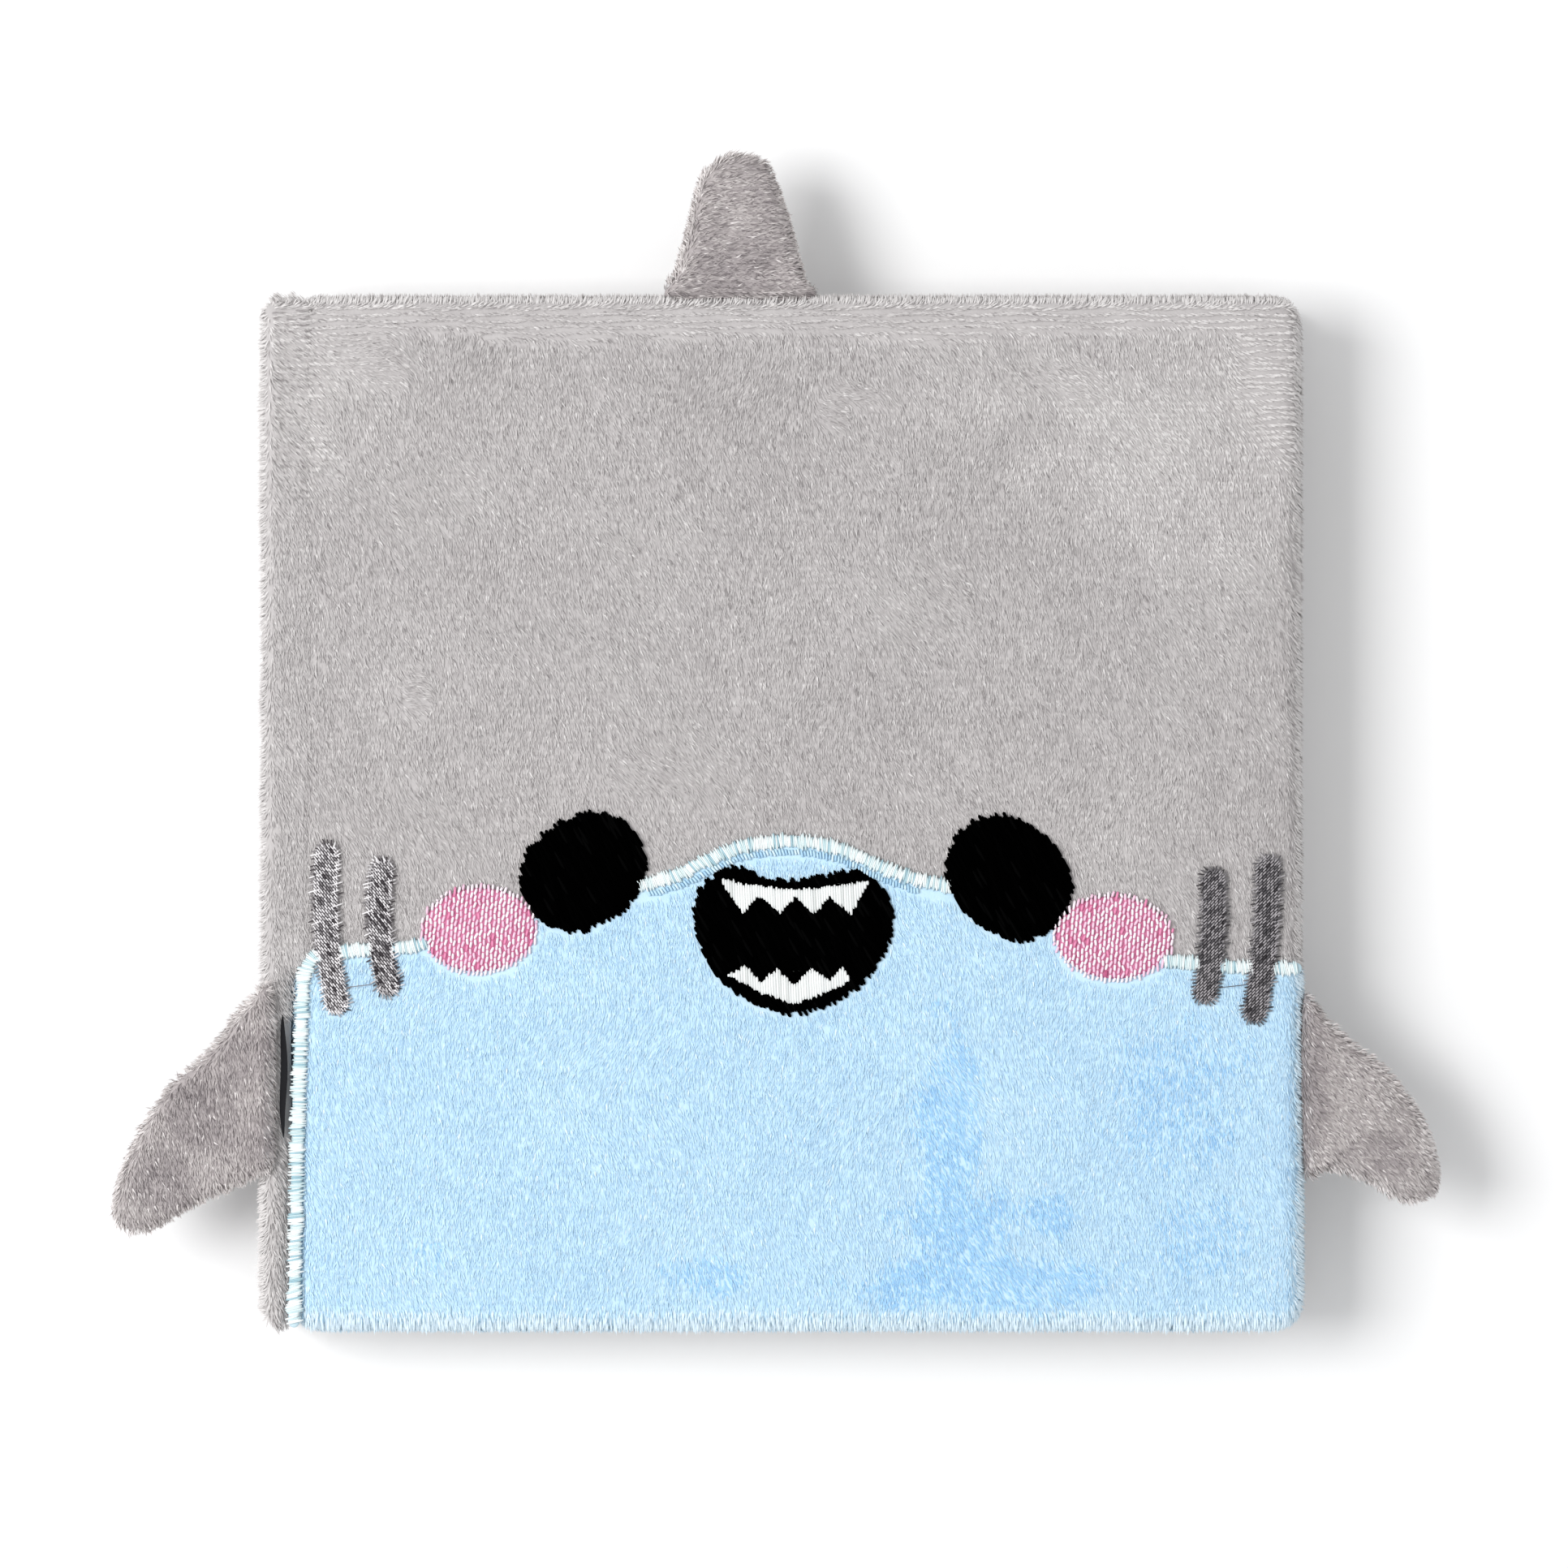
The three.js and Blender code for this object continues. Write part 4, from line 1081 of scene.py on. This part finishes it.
def spine_pile(name, body, skin, seed, face_up=True, per_mm2=12.0):
    rng = np.random.default_rng(seed)
    roots, normals = scatter(skin, per_mm2, rng)
    if face_up:
        x, y = roots[:, 0], roots[:, 1]
        slit = (x > SLIT_X - 0.5) & (y < SLIT_HEAD) & (y > SLIT_TAIL)
        keep = off_the_embroidery(roots) & ~slit
        roots, normals = roots[keep], normals[keep]
    count = len(roots)
    up = normals[:, 2] > 0.6
    tight = ridged(roots) * up
    lines, within = in_rows(roots, tight, rng)
    roots[:, 1] = np.where(up, lines, roots[:, 1])
    outer = eased((-72.6 - roots[:, 0]) / 0.9)
    head = eased((roots[:, 1] - TOP + 3.0) / 1.5)
    nap = along_the_rows(swirled(roots, (0.30, -0.95), rng.normal(0, 0.2, count)), tight)
    nap = nap * (1 - outer * 0.85)[:, None] * (1 - head)[:, None]
    nap += outer[:, None] * [-0.7, 0, -0.1] + head[:, None] * [-0.4, 0.5, 0]
    lower = roots[:, 1] < OPEN_BELOW
    length = 1.35 + 0.15 * lower + 0.35 * outer
    # Painted light: the rounded outer edge and the head's fringe are painted lighter, and the face's painted light
    # patches carry on over the strip.
    bias = 0.2 + 0.3 * waves(roots, 6, seed) + 1.3 * outer + 1.0 * lower + 1.5 * head
    bias += painted_row_shade(within, tight) * up + 1.3 * patches(roots, PAINTED_LIGHT_PATCHES)
    shade = speckle(count, rng, bias, 0.6)
    return grow(name, body, roots, normals, nap, length, 0.38 + 0.15 * lower, GREY_PILE, rng, shade, width=0.22)


spine_cloth, spine_skin = strip_of_cloth("spine_cloth", SPINE_BACK, SPINE_BACK, (-71.5, FACE / 2), "back_cover")
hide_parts("spine_plush")
spine_pile("spine_pile", "back_cover", spine_skin, 301, face_up=False)
joint_cloth, joint_skin = strip_of_cloth("front_joint_cloth", SHUT_SHOULDER, OPEN_SHOULDER, (-71.5, 15.5))
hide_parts("front_joint_plush")
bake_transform(joint_cloth)
for piece in spine_pile("front_joint_pile", None, joint_skin, 302):
    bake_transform(piece)
# A dark sheet in the groove: painted shade where the left fin comes out through its slit.
slit_y = np.linspace(SLIT_TAIL, SLIT_HEAD, 24)
slit_half = 0.5 * np.sqrt(np.clip(np.sin(np.linspace(0, math.pi, 24)), 0.01, 1))
slit_x = SLIT_X + 0.12 * np.sin(slit_y / 2.1)
slit_edges = [np.column_stack([slit_x + sign * slit_half, slit_y, np.full(24, 20.55)]) for sign in (1, -1)]
slit_faces = [(i, i + 1, i + 25, i + 24) for i in range(23)]
slit = woven("left_fin_slit_shadow", np.vstack(slit_edges), slit_faces, [plain("slit_shadow", (0.012, 0.012, 0.014), 1.0)])
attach(slit, "front_cover")
back_joint, back_joint_skin = strip_of_cloth("back_joint_cloth", SHUT_SHOULDER, SHUT_SHOULDER, (-71.5, FACE - 15.5),
                                             "back_cover", flip=True)
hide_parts("back_joint_plush")
spine_pile("back_joint_pile", "back_cover", back_joint_skin, 303, face_up=False)

# ---- pages ----------------------------------------------------------------------------------------
def paper(name, ruled=False):
    made = mottled(name, (0.74, 0.725, 0.67), (0.78, 0.765, 0.71), 0.012, roughness=0.75, bump=0.05, fine=30.0)
    if ruled:
        tree = made.node_tree
        shader = tree.nodes["Principled BSDF"]
        ground = shader.inputs["Base Color"].links[0].from_socket
        place = tree.nodes["Texture Coordinate"]
        split = tree.nodes.new("ShaderNodeSeparateXYZ")
        repeat = tree.nodes.new("ShaderNodeMath")
        repeat.operation = "PINGPONG"
        repeat.inputs[1].default_value = 3.5 * MM
        line = tree.nodes.new("ShaderNodeMath")
        line.operation = "LESS_THAN"
        line.inputs[1].default_value = 0.12 * MM
        ink = tree.nodes.new("ShaderNodeMix")
        ink.data_type = "RGBA"
        ink.inputs["B"].default_value = (0.42, 0.52, 0.66, 1)
        tree.links.new(place.outputs["Object"], split.inputs["Vector"])
        tree.links.new(split.outputs["Y"], repeat.inputs[0])
        tree.links.new(repeat.outputs[0], line.inputs[0])
        tree.links.new(line.outputs[0], ink.inputs["Factor"])
        tree.links.new(ground, ink.inputs["A"])
        tree.links.new(ink.outputs["Result"], shader.inputs["Base Color"])
    return made


PAPER = paper("page_paper")
RULED = paper("ruled_paper", ruled=True)
ENDPAPER = paper("end_paper")
CARD = mottled("binders_board", (0.34, 0.28, 0.20), (0.46, 0.39, 0.29), 0.003, roughness=0.9)
FLEECE = mottled("wadding", (0.78, 0.77, 0.74), (0.88, 0.87, 0.85), 0.002, roughness=0.95, bump=0.5)
GAUZE = mottled("gauze", (0.70, 0.70, 0.68), (0.82, 0.82, 0.80), 0.001, roughness=0.9, bump=0.6)
BAND_THREADS = shades("band_thread", [(0.10, 0.28, 0.52), (0.85, 0.86, 0.86)], roughness=0.5)


def leaves(name, node, body, count, rng):
    """A section as its separate leaves, not quite squared up."""
    low, high = (np.array(v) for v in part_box(node))
    low, high = (low - MIDDLE) / MM, (high - MIDDLE) / MM
    step = (high[2] - low[2]) / count
    points, faces, tone = [], [], []
    for k in range(count):
        z0 = low[2] + k * step
        z1 = z0 + step * 0.88
        x1 = high[0] - rng.uniform(0, 0.35)
        y0, y1 = low[1] + rng.uniform(0, 0.2), high[1] - rng.uniform(0, 0.2)
        x0 = low[0] + 0.02 + 0.35 * abs(k / (count - 1) - 0.5)
        ring = [(x0, y0), (x1 - 1.5, y0), (x1 - 0.4, y0 + 0.4), (x1, y0 + 1.5), (x1, y1 - 1.5), (x1 - 0.4, y1 - 0.4),
                (x1 - 1.5, y1), (x0, y1)]
        first = len(points)
        points += [(x, y, z0) for x, y in ring] + [(x, y, z1) for x, y in ring]
        n = len(ring)
        sides = [(first + i, first + (i + 1) % n, first + n + (i + 1) % n, first + n + i) for i in range(n)]
        top = [(first + n, first + n + 1 + i, first + n + 2 + i, first + n + 3 + i) for i in (0, 2, 4)]
        under_ = [tuple(v - n for v in reversed(face)) for face in top]
        faces += sides + top + under_
        tone += [0] * len(sides) + [1] * 6
    piece = woven(name, points, faces, [PAPER, RULED], tone)
    piece.data.polygons.foreach_set("use_smooth", np.zeros(len(piece.data.polygons), bool))
    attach(piece, body)
    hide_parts(node)
    return piece


for i in range(1, 6):
    leaves(f"section_{i}_leaves", f"page_section_{i}", "first_section" if i == 1 else "back_cover", 16, rng)


def refinish(node, *materials):
    mesh = CAD[node].data
    mesh.materials.clear()
    for material in materials:
        mesh.materials.append(material)


for node in ("front_pastedown", "back_pastedown", "front_flyleaf", "back_flyleaf"):
    refinish(node, ENDPAPER)
for node in ("front_board", "back_board", "spine_board"):
    refinish(node, CARD)
for node in ("front_wadding", "back_wadding"):
    refinish(node, FLEECE)
refinish("spine_lining", GAUZE)


def worked_band(name, node, rng):
    """A headband: thread wound over a core in two colours."""
    low, high = (np.array(v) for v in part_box(node))
    low, high = (low - MIDDLE) / MM, (high - MIDDLE) / MM
    centre = (low + high) / 2
    turns = 17
    points, faces, tone = [], [], []
    around, ridges = 16, 3
    levels = turns * ridges
    for k in range(levels + 1):
        z = low[2] + (high[2] - low[2]) * k / levels
        radius = 0.42 + 0.09 * math.sin(math.pi * (k % ridges) / ridges)
        for a in range(around):
            t = 2 * math.pi * a / around
            points.append((centre[0] + radius * math.cos(t), centre[1] + radius * math.sin(t), z))
    for k in range(levels):
        for a in range(around):
            b = (a + 1) % around
            faces.append((k * around + a, k * around + b, (k + 1) * around + b, (k + 1) * around + a))
            tone.append((k // ridges) % 2)
    piece = woven(name, points, faces, BAND_THREADS, tone)
    edit(piece, "EDGE")
    bpy.ops.mesh.select_non_manifold()
    bpy.ops.mesh.fill_holes(sides=around)
    stop_editing()
    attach(piece, "back_cover")
    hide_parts(node)


worked_band("head_band_threads", "head_band", rng)
worked_band("tail_band_threads", "tail_band", rng)

# ---- camera, light and floor ----------------------------------------------------------------------
scene = bpy.context.scene
scene.view_settings.view_transform = "Standard"
VIEW_CENTRE = (0.35, 3.9)
VIEW_WIDTH = 223.3  # how much of the face's plane the picture takes in
LENS = 150.0
SENSOR = 36.0
camera = bpy.data.objects.new("camera", bpy.data.cameras.new("camera"))
scene.collection.objects.link(camera)
camera.data.lens = LENS
camera.data.sensor_width = SENSOR
camera.data.clip_start = 0.01
camera.location = row([(*VIEW_CENTRE, FACE + VIEW_WIDTH * LENS / SENSOR)])[0]
scene.camera = camera

bpy.ops.mesh.primitive_plane_add(size=6)
floor = named(bpy.context.object, "floor", plain("paper_floor", (0.92, 0.92, 0.92), roughness=0.9, specular=0.1))

world = bpy.data.worlds.new("studio")
scene.world = world
world.use_nodes = True
world.node_tree.nodes["Background"].inputs["Color"].default_value = (0.985, 0.99, 1.0, 1)
world.node_tree.nodes["Background"].inputs["Strength"].default_value = 0.70


def soft_light(name, place, size, power):
    """A square light that faces the middle of the part."""
    light = bpy.data.objects.new(name, bpy.data.lights.new(name, "AREA"))
    scene.collection.objects.link(light)
    light.data.size = size
    light.data.energy = power
    light.location = place
    light.rotation_euler = (-Vector(place)).to_track_quat("-Z", "Y").to_euler()


soft_light("key", (-0.68, 0.10, 1.0), 0.55, 10.2)
